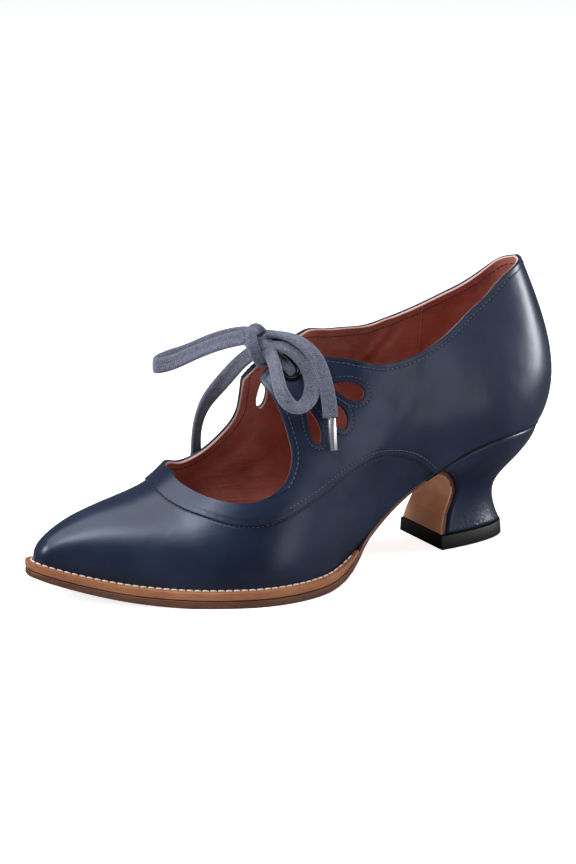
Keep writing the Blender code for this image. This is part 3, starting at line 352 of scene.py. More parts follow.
def makeCutLeather(name, dark, light, roughness, poreScale=900.0, layers=0.0, coat=0.0):
    # raw or stained leather: fibres, and for an edge its layers one over another
    material, tree, shader, place = startMaterial(name, roughness, coat=coat, coatRoughness=0.3,
                                                  specular=0.4)
    grain = grainNode(tree, place, {"Pore Scale": poreScale, "Pore Depth": 2.2e-5, "Wave Scale": 160.0,
                                    "Wave Depth": 1.2e-4})
    stretch = addNode(tree, "ShaderNodeMapping", {"Vector": place, "Scale": (150.0, 150.0, 1500.0)})
    fibres = addNode(tree, "ShaderNodeTexNoise", {"Vector": stretch.outputs[0], "Scale": 1.0, "Detail": 4.0})
    blend = maths(tree, "MULTIPLY_ADD", fibres.outputs["Fac"], layers, grain.outputs["Tone"])
    tone = addNode(tree, "ShaderNodeMapRange", {"Value": blend, "From Min": 0.32 + 0.35 * layers,
                                               "From Max": 0.70 + 0.65 * layers})
    tree.links.new(mixColours(tree, tone.outputs["Result"], dark, light), shader.inputs["Base Color"])
    height = maths(tree, "MULTIPLY_ADD", fibres.outputs["Fac"], 6e-5 * layers, grain.outputs["Height"])
    addBump(tree, shader, height)
    return material


def makePlain(name, dark, light, roughness, metallic=0.0, scale=400.0, depth=1e-5, coat=0.0):
    material, tree, shader, place = startMaterial(name, roughness, metallic, coat)
    noise = addNode(tree, "ShaderNodeTexNoise", {"Vector": place, "Scale": scale, "Detail": 4.0})
    tree.links.new(mixColours(tree, noise.outputs["Fac"], dark, light), shader.inputs["Base Color"])
    rough = addNode(tree, "ShaderNodeMapRange", {"Value": noise.outputs["Fac"], "To Min": roughness - 0.06,
                                                "To Max": roughness + 0.08})
    tree.links.new(rough.outputs["Result"], shader.inputs["Roughness"])
    addBump(tree, shader, maths(tree, "MULTIPLY", noise.outputs["Fac"], depth))
    return material


laceCotton = {"dark": (0.036, 0.040, 0.064), "light": (0.225, 0.236, 0.318), "braid": 0.00085,
              "depth": 1.3e-4}


def makeCotton(name, values):
    # braided cotton tube: slanting strands both ways, fuzz and flecks
    material, tree, shader, place = startMaterial(name, 0.88, specular=0.25)
    shader.inputs["Sheen Weight"].default_value = 0.5
    shader.inputs["Sheen Roughness"].default_value = 0.5
    shader.inputs["Sheen Tint"].default_value = (0.7, 0.72, 0.82, 1.0)
    flat = addNode(tree, "ShaderNodeUVMap", uv_map="laceFlat").outputs[0]
    strands = []
    for slant in (1.0, -1.0):
        turned = addNode(tree, "ShaderNodeMapping", {"Vector": flat, "Rotation": (0.0, 0.0, slant * 0.9)})
        wave = addNode(tree, "ShaderNodeTexWave",
                       {"Vector": turned.outputs[0], "Scale": 0.314 / values["braid"], "Distortion": 1.2,
                        "Detail": 2.0, "Detail Scale": 2.0})
        strands.append(wave.outputs["Fac"])
    braid = maths(tree, "MAXIMUM", strands[0], strands[1])
    fuzz = addNode(tree, "ShaderNodeTexNoise",
                   {"Vector": place, "Scale": 2200.0, "Detail": 3.0, "Roughness": 0.7})
    fleck = addNode(tree, "ShaderNodeTexNoise",
                    {"Vector": place, "Scale": 900.0, "Detail": 4.0, "Roughness": 0.75})
    blend = maths(tree, "MULTIPLY_ADD", braid, 0.22, maths(tree, "MULTIPLY", fleck.outputs["Fac"], 0.95))
    tone = addNode(tree, "ShaderNodeMapRange", {"Value": blend, "From Min": 0.35, "From Max": 0.88})
    tree.links.new(mixColours(tree, tone.outputs["Result"], values["dark"], values["light"]),
                   shader.inputs["Base Color"])
    height = maths(tree, "MULTIPLY", braid, values["depth"])
    addBump(tree, shader, maths(tree, "MULTIPLY_ADD", fuzz.outputs["Fac"], 9e-5, height))
    return material


cutLeathers = {
    "cutEdge": {"dark": (0.50, 0.28, 0.24), "light": (0.80, 0.60, 0.56), "roughness": 0.6},
    "weltLeather": {"dark": (0.27, 0.095, 0.036), "light": (0.46, 0.185, 0.078), "roughness": 0.45,
                    "layers": 0.6, "coat": 0.1},
    "soleEdge": {"dark": (0.085, 0.030, 0.016), "light": (0.18, 0.072, 0.038), "roughness": 0.45,
                 "layers": 0.8, "coat": 0.1},
    "soleBottom": {"dark": (0.20, 0.085, 0.035), "light": (0.34, 0.16, 0.075), "roughness": 0.5},
    "breastLeather": {"dark": (0.52, 0.230, 0.120), "light": (0.88, 0.450, 0.255), "roughness": 0.42,
                      "layers": 0.2, "coat": 0.15},
    "sockLeather": {"dark": (0.24, 0.066, 0.043), "light": (0.38, 0.12, 0.08), "roughness": 0.6}}
plainFinishes = {
    "liftRubber": {"dark": (0.0022, 0.0022, 0.0022), "light": (0.0055, 0.005, 0.005), "roughness": 0.55,
                   "scale": 900.0, "depth": 4e-5},
    "eyeletMetal": {"dark": (0.010, 0.010, 0.013), "light": (0.03, 0.03, 0.036), "roughness": 0.22,
                    "metallic": 1.0, "coat": 0.6},
    "tipMetal": {"dark": (0.80, 0.80, 0.84), "light": (0.92, 0.92, 0.94), "roughness": 0.3, "metallic": 1.0,
                 "scale": 700.0, "depth": 3e-6},
    "navyThread": {"dark": (0.036, 0.052, 0.090), "light": (0.095, 0.125, 0.190), "roughness": 0.6,
                   "scale": 3000.0, "depth": 3e-5},
    # near-black discs at the needle holes: painted shade
    "needleHoleShade": {"dark": (0.002, 0.003, 0.005), "light": (0.005, 0.007, 0.012), "roughness": 0.7},
    "jointShadow": {"dark": (0.001, 0.001, 0.002), "light": (0.002, 0.003, 0.004), "roughness": 0.9,
                    "depth": 1e-6},
    "brownThread": {"dark": (0.035, 0.010, 0.007), "light": (0.08, 0.026, 0.018), "roughness": 0.65,
                    "scale": 3000.0, "depth": 3e-5},
    "whiteThread": {"dark": (0.62, 0.52, 0.44), "light": (0.88, 0.80, 0.72), "roughness": 0.6,
                    "scale": 3000.0, "depth": 3e-5}}
upperOutside = makeNavyLeather("navyLeatherUpper", navyLeather, True)
heelCover = makeNavyLeather("navyLeatherHeel", navyLeather, False)
lining = makeLining("liningLeather", liningLeather)
cotton = makeCotton("laceCotton", laceCotton)
finish = {name: makeCutLeather(name, **values) for name, values in cutLeathers.items()}
finish.update({name: makePlain(name, **values) for name, values in plainFinishes.items()})
print("materials made")


# the lace: columns x, y, z, and how far the flat band is turned on its way, in degrees
laceShape = {"width": 0.0063, "thick": 0.0027, "spacing": 0.0009, "around": 18, "knotShare": 0.92}
laceRoutes = {
    "loopMedial": {"across": (-0.13, -0.23, 0.96), "node": "lace_loop_medial", "points": (
        (0.0965, -0.0050, 0.0968, 0), (0.0971, -0.0090, 0.0973, 0), (0.0993, -0.0135, 0.0966, 0),
        (0.1024, -0.0190, 0.0948, 0), (0.1059, -0.0255, 0.0918, 0), (0.1097, -0.0315, 0.0882, 0),
        (0.1139, -0.0370, 0.0850, 0), (0.1172, -0.0415, 0.0828, 0), (0.1196, -0.0440, 0.0810, 0),
        (0.1223, -0.0425, 0.0806, 0), (0.1235, -0.0395, 0.0807, 0), (0.1213, -0.0370, 0.0814, 0),
        (0.1180, -0.0335, 0.0831, 0), (0.1144, -0.0270, 0.0868, 0), (0.1108, -0.0205, 0.0904, 0),
        (0.1078, -0.0140, 0.0935, 0), (0.1046, -0.0080, 0.0960, 0), (0.1016, -0.0025, 0.0979, 0))},
    "loopLateral": {"facing": (0.47, 0.84, 0.27), "node": "lace_loop_lateral", "points": (
        (0.0969, -0.0010, 0.0935, 30), (0.0959, 0.0030, 0.0948, 55), (0.0941, 0.0065, 0.0953, 60),
        (0.0917, 0.0095, 0.0951, 55), (0.0886, 0.0130, 0.0934, 45), (0.0858, 0.0165, 0.0901, 25),
        (0.0842, 0.0195, 0.0852, 5), (0.0851, 0.0225, 0.0798, 0), (0.0885, 0.0250, 0.0757, -25),
        (0.0935, 0.0265, 0.0742, -40), (0.0980, 0.0265, 0.0762, -20), (0.1000, 0.0240, 0.0804, 15),
        (0.0994, 0.0200, 0.0847, 35), (0.0982, 0.0155, 0.0889, 42), (0.0968, 0.0100, 0.0919, 40),
        (0.0965, 0.0050, 0.0939, 30), (0.0968, 0.0005, 0.0942, 20))},
    "tailMedial": {"facing": (0.47, 0.84, 0.27), "node": "lace_tail_medial", "points": (
        (0.0989, 0.0010, 0.0929, 0), (0.0995, -0.0030, 0.0903, 0), (0.1013, -0.0090, 0.0855, 0),
        (0.1037, -0.0150, 0.0790, 10), (0.1059, -0.0195, 0.0735, 25), (0.1080, -0.0235, 0.0679, 40),
        (0.1093, -0.0270, 0.0618, 55), (0.1096, -0.0300, 0.0553, 62), (0.1091, -0.0325, 0.0486, 62),
        (0.1080, -0.0349, 0.0420, 55))},
    "tailLateral": {"facing": (0.47, 0.84, 0.27), "node": "lace_tail_lateral", "points": (
        (0.0969, -0.0010, 0.0976, 20), (0.0943, 0.0010, 0.0988, 60), (0.0909, 0.0040, 0.0990, 75),
        (0.0877, 0.0090, 0.0986, 66), (0.0844, 0.0145, 0.0961, 48), (0.0814, 0.0190, 0.0911, 28),
        (0.0803, 0.0230, 0.0847, 10), (0.0801, 0.0260, 0.0783, 10), (0.0802, 0.0280, 0.0722, 22),
        (0.0803, 0.0287, 0.0689, 30))}}
tipShape = {"radius": 0.00165, "inset": 0.00035, "sink": 0.0004, "bevel": 0.00018}
laceTips = {
    "tipMedial": {"node": "lace_tip_medial", "ends": ((0.1079, -0.0351, 0.0418), (0.1066, -0.0392, 0.0291))},
    "tipLateral": {"node": "lace_tip_lateral", "ends": ((0.0797, 0.0287, 0.0684), (0.0806, 0.0318, 0.0560))}}
knotCore = {"place": (0.0981, -0.0005, 0.0941), "half": (0.0040, 0.0040, 0.0050)}
knotBands = {
    "knotWrap": {"facing": (0.47, 0.84, 0.27), "width": 0.0046, "points": (
        (0.0935, -0.0030, 0.0972, 0), (0.0965, 0.0000, 0.1003, 0), (0.1004, 0.0025, 0.1022, 0),
        (0.1030, 0.0045, 0.1012, 0), (0.1037, 0.0060, 0.0986, 0), (0.1031, 0.0068, 0.0954, 0),
        (0.1013, 0.0062, 0.0918, 0), (0.0985, 0.0040, 0.0887, 0), (0.0945, 0.0005, 0.0877, 0))},
    "knotUnder": {"facing": (0.40, 0.70, 0.60), "width": 0.0052, "points": (
        (0.1005, -0.0020, 0.0960, 0), (0.0999, 0.0020, 0.0963, 0),
        (0.0971, 0.0035, 0.0957, 0), (0.0940, 0.0045, 0.0949, 0))},
    "knotBehind": {"facing": (0.47, 0.84, 0.27), "width": 0.0046, "points": (
        (0.0967, -0.0030, 0.0955, 20), (0.0932, -0.0010, 0.0962, 20), (0.0895, 0.0015, 0.0959, 20),
        (0.0863, 0.0040, 0.0941, 20), (0.0846, 0.0060, 0.0915, 20), (0.0848, 0.0080, 0.0886, 20))},
    "leadLateral": {"facing": (0.2, 0.6, 0.75), "width": 0.0042, "node": "lace_lead_lateral", "points": (
        (0.0880, 0.0108, 0.0823, 0), (0.0888, 0.0126, 0.0847, 0), (0.0900, 0.0114, 0.0872, 0),
        (0.0913, 0.0080, 0.0896, 0), (0.0933, 0.0050, 0.0916, 0), (0.0951, 0.0015, 0.0926, 0))},
    "leadMedial": {"facing": (0.2, -0.5, 0.8), "width": 0.0042, "node": "lace_lead_medial", "points": (
        (0.0882, -0.0086, 0.0855, 0), (0.0890, -0.0102, 0.0882, 0), (0.0905, -0.0095, 0.0905, 0),
        (0.0925, -0.0065, 0.0925, 0), (0.0955, -0.0030, 0.0935, 0))},
    "laceBar": {"facing": (0.1, 0.0, 1.0), "width": 0.0042, "node": "lace_bar", "points": (
        (0.0891, 0.0122, 0.0846, 0), (0.0876, 0.0098, 0.0812, 0), (0.0872, 0.0040, 0.0818, 0),
        (0.0870, -0.0030, 0.0826, 0), (0.0872, -0.0070, 0.0836, 0), (0.0884, -0.0094, 0.0866, 0))}}


def makeBand(name, values, width, thick):
    route = evenPoints(curveThrough(values["points"]), laceShape["spacing"])
    path, turn = route[:, :3], np.radians(route[:, 3])
    along = unit(np.gradient(path, axis=0))
    if "across" in values:
        across = np.asarray(values["across"], float) - along * (along @ values["across"])[:, None]
        side = unit(across)
    else:
        side = unit(np.cross(along, np.asarray(values["facing"], float)))
    front = np.cross(side, along)
    across = side * np.cos(turn)[:, None] + front * np.sin(turn)[:, None]
    out = np.cross(across, along)
    count = laceShape["around"]
    angles = np.arange(count) * 2 * math.pi / count
    flatShare = np.sign(np.cos(angles)) * np.abs(np.cos(angles)) ** 0.7 * width / 2
    thickShare = np.sign(np.sin(angles)) * np.abs(np.sin(angles)) ** 0.8 * thick / 2
    dip = 0.2 * thick * (np.abs(np.cos(angles)) < 0.35) * np.sign(np.sin(angles))
    bend = np.linalg.norm(np.gradient(along, axis=0), axis=1) / laceShape["spacing"]
    flatness = 1 / (1 + (bend * 0.009) ** 2)    # it dips less where it folds back
    swell = 1 + 0.05 * np.sin(np.linspace(0, 9, len(path)) + len(name))
    points, faces, flat = [], [], []
    for i in range(len(path)):
        rise = np.outer(thickShare - flatness[i] * dip, out[i])
        points.extend(path[i] + swell[i] * np.outer(flatShare, across[i]) + rise)
    steps = np.linalg.norm(np.diff(path, axis=0), axis=1)
    far = np.concatenate([[0], np.cumsum(steps)])
    girth = 2 * (width + thick) / count
    for i in range(len(path) - 1):
        for k in range(count):
            j = (k + 1) % count
            faces.append((i * count + k, i * count + j, (i + 1) * count + j, (i + 1) * count + k))
            flat.extend(((k * girth, far[i]), ((k + 1) * girth, far[i]),
                         ((k + 1) * girth, far[i + 1]), (k * girth, far[i + 1])))
    for i, order in ((0, -1), (len(path) - 1, 1)):
        middle = len(points)
        points.append(path[i] + along[i] * order * 0.15 * thick)
        for k in range(count):
            j = (k + 1) % count
            corners = (i * count + k, i * count + j, middle)
            faces.append(corners if order > 0 else corners[::-1])
            flat.extend(((0, far[i]), (girth, far[i]), (girth / 2, far[i] + girth)))
    piece = newPiece(name, points, faces, [cotton])
    layer = piece.data.uv_layers.new(name="laceFlat")
    layer.data.foreach_set("uv", np.asarray(flat, np.float32).ravel())
    fixNormals(piece)
    return piece, path, float(far[-1])


def fixNormals(piece):
    work = bmesh.new()
    work.from_mesh(piece.data)
    bmesh.ops.recalc_face_normals(work, faces=work.faces)
    if work.calc_volume(signed=True) < 0:
        bmesh.ops.reverse_faces(work, faces=work.faces)
    work.to_mesh(piece.data)
    work.free()


def selectOnly(piece):
    bpy.ops.object.select_all(action="DESELECT")
    piece.select_set(True)
    bpy.context.view_layer.objects.active = piece


def makeTip(name, ends):
    # a crimped metal tube over the lace's end
    low, high = Vector(ends[1]), Vector(ends[0])
    bpy.ops.object.select_all(action="DESELECT")
    bpy.ops.mesh.primitive_cylinder_add(vertices=28, radius=tipShape["radius"], depth=(high - low).length)
    tip = bpy.context.active_object
    tip.name = name
    bpy.ops.object.mode_set(mode="EDIT")
    bpy.ops.mesh.select_all(action="DESELECT")
    bpy.ops.mesh.select_mode(type="FACE")
    work = bmesh.from_edit_mesh(tip.data)
    for face in work.faces:
        face.select_set(abs(face.normal.z) > 0.9)
    bmesh.update_edit_mesh(tip.data)
    bpy.ops.mesh.inset(thickness=tipShape["inset"])
    bpy.ops.mesh.extrude_region_shrink_fatten(TRANSFORM_OT_shrink_fatten={"value": -tipShape["sink"]})
    bpy.ops.object.mode_set(mode="OBJECT")
    turn = Vector((0, 0, 1)).rotation_difference(high - low).to_matrix().to_4x4()
    tip.data.transform(Matrix.Translation((low + high) / 2) @ turn)
    bevel = tip.modifiers.new("bevel", "BEVEL")
    bevel.width, bevel.segments, bevel.limit_method = tipShape["bevel"], 2, "ANGLE"
    bpy.ops.object.modifier_apply(modifier="bevel")
    fixNormals(tip)
    tip.data.materials.append(finish["tipMetal"])
    bpy.ops.object.shade_smooth_by_angle(angle=math.radians(40))
    return tip


def makeKnotCore():
    bpy.ops.object.select_all(action="DESELECT")
    bpy.ops.mesh.primitive_uv_sphere_add(segments=28, ring_count=18, radius=1.0)
    core = bpy.context.active_object
    core.name = "knotCore"
    core.data.transform(Matrix.Translation(knotCore["place"]) @ Matrix.Diagonal((*knotCore["half"], 1)))
    core.data.materials.append(cotton)
    core.data.uv_layers[0].name = "laceFlat"
    for spot in core.data.uv_layers[0].data:
        spot.uv = spot.uv * 0.02
    core.data.shade_smooth()
    return core


tips = {}
for name, tip in laceTips.items():
    tips[name] = makeTip(name, tip["ends"])
    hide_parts(tip["node"])
    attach(tips[name], "root")
core = makeKnotCore()
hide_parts("lace_knot")
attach(core, "root")
for name, band in knotBands.items():
    piece = makeBand(name, band, band["width"], laceShape["thick"] * laceShape["knotShare"])[0]
    if "node" in band:
        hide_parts(band["node"])
    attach(piece, "root")
for name, route in laceRoutes.items():
    piece, path, length = makeBand(name, route, laceShape["width"], laceShape["thick"])
    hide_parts(route["node"])
    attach(piece, "root")
    tip = tips.get(name.replace("tail", "tip"))
print("lace made")

# the last: the same sizes as the CAD part, in metres
lastSizes = {"length": 0.224, "ball": 0.0785, "rise": 0.078, "seat": 0.0504, "spring": 0.008,
             "heelPoint": -0.0325, "base": 0.0071, "gap": 0.0003, "vampWall": 0.0016, "overlayStep": 0.0008}
# columns: along, lateral, medial, topAlong, topHalf, topRise, ridgeSide, bellyOut, bellyUp, shoulderOut,
# shoulderDown
lastRibs = (
    (0.000, 0.000, 0.000, 0.051, 0.000, 1.010, 0.000, 0.210, 0.27, 0.172, 0.38),
    (0.010, 0.132, 0.132, 0.058, 0.052, 1.003, 0.000, 0.178, 0.27, 0.146, 0.38),
    (0.038, 0.234, 0.232, 0.076, 0.090, 0.989, 0.000, 0.121, 0.27, 0.115, 0.38),
    (0.079, 0.306, 0.301, 0.114, 0.111, 0.978, 0.000, 0.076, 0.27, 0.087, 0.38),
    (0.132, 0.348, 0.341, 0.158, 0.118, 0.970, 0.000, 0.051, 0.27, 0.076, 0.38),
    (0.208, 0.348, 0.336, 0.225, 0.127, 0.990, 0.000, 0.051, 0.26, 0.108, 0.36),
    (0.283, 0.331, 0.312, 0.297, 0.131, 1.048, 0.000, 0.057, 0.26, 0.140, 0.31),
    (0.355, 0.329, 0.280, 0.364, 0.127, 1.087, 0.000, 0.064, 0.26, 0.159, 0.22),
    (0.417, 0.363, 0.274, 0.422, 0.108, 1.098, 0.000, 0.064, 0.26, 0.166, 0.12),
    (0.475, 0.420, 0.299, 0.471, 0.064, 1.093, 0.000, 0.057, 0.26, 0.172, 0.05),
    (0.529, 0.475, 0.350, 0.518, 0.019, 1.090, 0.000, 0.045, 0.27, 0.178, 0.01),
    (0.578, 0.510, 0.401, 0.560, 0.000, 1.030, 0.000, 0.038, 0.28, 0.178, 0.00),
    (0.627, 0.522, 0.446, 0.605, 0.000, 0.920, 0.000, 0.032, 0.30, 0.178, 0.00),
    (0.676, 0.501, 0.475, 0.650, 0.000, 0.782, -0.013, 0.028, 0.33, 0.191, 0.00),
    (0.725, 0.446, 0.482, 0.694, 0.000, 0.635, -0.032, 0.025, 0.38, 0.204, 0.00),
    (0.775, 0.369, 0.466, 0.743, 0.000, 0.485, -0.051, 0.025, 0.42, 0.217, 0.00),
    (0.824, 0.274, 0.431, 0.797, 0.000, 0.399, -0.074, 0.025, 0.46, 0.204, 0.00),
    (0.868, 0.185, 0.389, 0.848, 0.000, 0.346, -0.094, 0.023, 0.50, 0.172, 0.00),
    (0.908, 0.099, 0.341, 0.895, 0.000, 0.290, -0.112, 0.020, 0.52, 0.140, 0.00),
    (0.944, 0.023, 0.292, 0.935, 0.000, 0.224, -0.124, 0.017, 0.53, 0.108, 0.00),
    (0.971, -0.033, 0.237, 0.967, 0.000, 0.158, -0.127, 0.013, 0.54, 0.076, 0.00),
    (0.990, -0.076, 0.189, 0.988, 0.000, 0.091, -0.127, 0.009, 0.55, 0.046, 0.00),
    (1.000, -0.127, 0.127, 1.000, 0.000, 0.000, -0.127, 0.000, 0.55, 0.000, 0.00))
# columns: along, seat, spring
footLine = (
    (-0.020, 0.980, 0), (0.000, 0.990, 0), (0.025, 1.000, 0), (0.056, 1.004, 0), (0.105, 1.000, 0),
    (0.163, 0.963, 0), (0.208, 0.894, 0), (0.248, 0.797, 0), (0.277, 0.714, 0), (0.315, 0.617, 0),
    (0.350, 0.513, 0), (0.400, 0.353, 0), (0.449, 0.196, 0), (0.484, 0.097, 0), (0.520, 0.030, 0),
    (0.556, 0.005, 0), (0.592, 0.000, 0), (0.703, 0.000, -0.012), (0.815, 0, 0.025), (0.882, 0, 0.188),
    (0.949, 0, 0.562), (1.002, 0, 1.000), (1.030, 0, 1.270))


def makeLast():
    foot = np.array(footLine)
    rise = (lastSizes["seat"] - lastSizes["base"]) * foot[:, 1] + lastSizes["spring"] * foot[:, 2]
    footCurve = makeCurve(lastSizes["heelPoint"] + foot[:, 0] * lastSizes["length"],
                          (lastSizes["base"] + rise)[:, None])
    rib = np.array(lastRibs).T
    ball, heelPoint, length = lastSizes["ball"], lastSizes["heelPoint"], lastSizes["length"]
    outline = np.stack([heelPoint + rib[0] * length, rib[1] * ball], 1)
    steps = np.concatenate([[0], np.cumsum(np.linalg.norm(np.diff(outline, axis=0), axis=1))])
    rows = []
    for sign, half in ((1, rib[1]), (-1, rib[2])):
        rows.append(np.stack([heelPoint + rib[0] * length, sign * half * ball, heelPoint + rib[3] * length,
                              (rib[6] + sign * rib[4]) * ball, rib[5] * lastSizes["rise"], rib[7] * ball,
                              rib[8], rib[9] * ball, rib[10]], 1))
    share = steps / steps[-1]
    level = [True, False, True, False, False, True, True, True, True]
    curve = makeCurve(np.concatenate([-share[:0:-1], share]), np.concatenate([rows[1][:0:-1], rows[0]]),
                      level)
    return {"foot": footCurve, "ribs": curve, "half": steps[-1]}


last = makeLast()


def footHeight(x):
    return curveAt(last["foot"], x)[:, 0]


def outward(w):
    step = 1e-4
    ahead, behind = np.clip(w + step, -1, 1), np.clip(w - step, -1, 1)
    change = curveAt(last["ribs"], ahead) - curveAt(last["ribs"], behind)
    track = unit(change[:, :2])
    out = np.stack([-track[:, 1], track[:, 0]], 1)
    out[np.abs(w) > 1 - 1e-6] = 1, 0
    return out, change


def footPoints(w, out=0.0):
    w = np.atleast_1d(np.asarray(w, float))
    row = curveAt(last["ribs"], w)
    flat = row[:, :2] + outward(w)[0] * np.reshape(out, (-1, 1))
    return np.column_stack([flat, footHeight(flat[:, 0])])


def lastPoints(w, v):
    w = np.atleast_1d(np.asarray(w, float))
    v = np.broadcast_to(np.atleast_1d(np.asarray(v, float)), w.shape)[:, None]
    row = curveAt(last["ribs"], w)
    out, change = outward(w)
    foot = np.column_stack([row[:, :2], footHeight(row[:, 0])])
    top = row[:, 2:5].copy()
    top[:, 2] += foot[:, 2]
    height = row[:, [4]]
    belly = foot + np.column_stack([out * row[:, [5]], row[:, [6]] * height])
    rise = change[:, 4] + footHeight(row[:, 0] + change[:, 0]) - foot[:, 2]
    run = np.where(np.abs(change[:, 2]) > 1e-9, change[:, 2], 1.0)
    ridgeX = lastSizes["heelPoint"] + 0.52 * lastSizes["length"]
    front = np.clip((row[:, 2] - ridgeX) / (0.05 * lastSizes["length"]), 0, 1)
    drop = front * np.clip(rise / run, -3, 3) * out[:, 0] * row[:, 7] - row[:, 8] * height[:, 0]
    shoulder = top + np.column_stack([out * row[:, [7]], drop])
    low = (1 - v) ** 3 * foot + 3 * (1 - v) ** 2 * v * belly
    return low + 3 * (1 - v) * v * v * shoulder + v ** 3 * top


def sideNormals(w, v):
    step = 1e-4
    along = lastPoints(np.clip(w + step, -1, 1), v) - lastPoints(np.clip(w - step, -1, 1), v)
    up = lastPoints(w, np.clip(v + step, 0, 1)) - lastPoints(w, np.clip(v - step, 0, 1))
    return unit(np.cross(up, along))


def lastNormals(w, v):
    normal = sideNormals(w, v)
    ridge = v > 1 - 1e-6
    normal[ridge] += sideNormals(-w[ridge], v[ridge])
    normal[:, 2] *= np.clip(v / 0.06, 0, 1)
    normal[np.abs(w) > 1 - 1e-6] = 1, 0, 0
    return unit(normal)


ribShares = np.linspace(-1, 1, 801)
ribLengths = np.linalg.norm(np.diff(np.stack(
    [lastPoints(ribShares, np.full(801, v)) for v in np.linspace(0, 1, 25)]), axis=0), axis=2).sum(0)


def layFlat(places):
    places = np.asarray(places, float)
    return np.column_stack([places[:, 0] * last["half"],
                            places[:, 1] * np.interp(places[:, 0], ribShares, ribLengths)])


def liftUp(sheet):
    w = np.clip(sheet[:, 0] / last["half"], -1, 1)
    return np.column_stack([w, np.clip(sheet[:, 1] / np.interp(w, ribShares, ribLengths), 0, 1)])


# creases, given one by one: places along each, its half width and its depth in metres
creases = {
    "lining": ((((-0.235, 0.62), (-0.262, 0.54), (-0.290, 0.47)), 0.0022, 0.00045),
               (((-0.270, 0.64), (-0.300, 0.57), (-0.325, 0.53)), 0.0026, 0.00035),
               (((-0.110, 0.66), (-0.145, 0.58), (-0.165, 0.46)), 0.0030, 0.00040),
               (((-0.530, 0.46), (-0.560, 0.40), (-0.595, 0.36)), 0.0024, 0.00045),
               (((-0.460, 0.38), (-0.500, 0.32), (-0.540, 0.27)), 0.0026, 0.00040),
               (((-0.420, 0.52), (-0.450, 0.44), (-0.470, 0.38)), 0.0022, 0.00035),
               (((0.240, 0.60), (0.265, 0.52), (0.300, 0.47)), 0.0024, 0.00040),
               (((0.450, 0.45), (0.490, 0.36), (0.530, 0.30)), 0.0026, 0.00040)),
    "outside": ((((0.405, 0.66), (0.385, 0.58), (0.360, 0.50)), 0.0042, 0.00030),
                (((0.345, 0.60), (0.330, 0.50), (0.325, 0.42)), 0.0048, 0.00028),
                (((0.300, 0.56), (0.285, 0.47), (0.290, 0.38)), 0.0050, 0.00024),
                (((0.500, 0.52), (0.470, 0.46), (0.425, 0.43)), 0.0045, 0.00028),
                (((-0.400, 0.69), (-0.380, 0.60), (-0.352, 0.52)), 0.0044, 0.00030),
                (((-0.330, 0.60), (-0.318, 0.50), (-0.322, 0.41)), 0.0048, 0.00026),
                (((-0.495, 0.54), (-0.460, 0.47), (-0.420, 0.44)), 0.0045, 0.00028))}


# the upper's pattern: places as (share round the feather line, share up the rib)
pattern = {
    "mesh": 0.0018, "cutoutWidth": 0.0066, "eyeletHole": 0.0028, "bandStart": 0.60,
    # a cut edge, from the lining out: shares of the wall, and 1 for lining, 2 for raw edge, 0 for outside
    "edgeRows": (0.0, 0.10, 0.22, 0.38, 0.60, 0.82, 1.0), "edgeSlots": (1, 2, 2, 0, 0, 0), "edgeBulge": 0.12,
    "seamStep": ((-0.00045, 0.0), (-0.00006, 0.0), (0.00006, 0.60), (0.00022, 0.90), (0.00055, 1.0)),
    "keyhole": {1: ((0.7495, 1.000), (0.743, 0.881), (0.730, 0.757), (0.713, 0.632), (0.695, 0.540),
                    (0.677, 0.477), (0.658, 0.435), (0.638, 0.411), (0.624, 0.404), (0.609, 0.408),
                    (0.597, 0.421), (0.587, 0.449), (0.581, 0.480), (0.579, 0.512), (0.580, 0.558),
                    (0.582, 0.625), (0.585, 0.690), (0.589, 0.765), (0.594, 0.840)),
                -1: ((0.7495, 1.000), (0.743, 0.881), (0.730, 0.757), (0.713, 0.640), (0.695, 0.552),
                     (0.676, 0.480), (0.661, 0.448), (0.645, 0.436), (0.629, 0.438), (0.615, 0.452),
                     (0.601, 0.478), (0.588, 0.514), (0.583, 0.557), (0.585, 0.615), (0.589, 0.675),
                     (0.594, 0.735), (0.599, 0.800), (0.602, 0.850))},
    "tab": {1: ((0.593, 0.885), (0.580, 0.905), (0.558, 0.912), (0.534, 0.910), (0.516, 0.898),
                (0.504, 0.868)),
            -1: ((0.600, 0.893), (0.585, 0.915), (0.560, 0.922), (0.534, 0.925), (0.512, 0.918),
                 (0.494, 0.898))},
    "collar": {1: ((0.493, 0.829), (0.461, 0.773), (0.419, 0.696), (0.373, 0.643), (0.331, 0.628),
                   (0.289, 0.638), (0.246, 0.665), (0.199, 0.722), (0.148, 0.783), (0.121, 0.828),
                   (0.087, 0.866), (0.045, 0.884), (0.000, 0.888)),
               -1: ((0.474, 0.864), (0.443, 0.818), (0.399, 0.744), (0.353, 0.695), (0.314, 0.667),
                    (0.274, 0.659), (0.237, 0.663), (0.200, 0.681), (0.162, 0.710), (0.122, 0.745),
                    (0.087, 0.802), (0.045, 0.866), (0.000, 0.888))},
    "seam": ((0.300, 0.000), (0.3295, 0.145), (0.370, 0.253), (0.414, 0.319), (0.459, 0.351),
             (0.503, 0.350), (0.543, 0.326), (0.583, 0.307), (0.630, 0.303), (0.671, 0.347),
             (0.697, 0.412), (0.721, 0.510), (0.746, 0.640), (0.772, 0.825), (0.786, 1.000)),
    # each teardrop: its point, then its round end
    "cutouts": {1: ((0.499, 0.694, 0.430, 0.577), (0.507, 0.640, 0.474, 0.512),
                    (0.543, 0.645, 0.531, 0.490)),
                -1: ((0.499, 0.766, 0.430, 0.646), (0.512, 0.698, 0.474, 0.572),
                     (0.552, 0.712, 0.537, 0.535))},
    "eyelet": {1: (0.5516, 0.795), -1: (0.5516, 0.822)}}


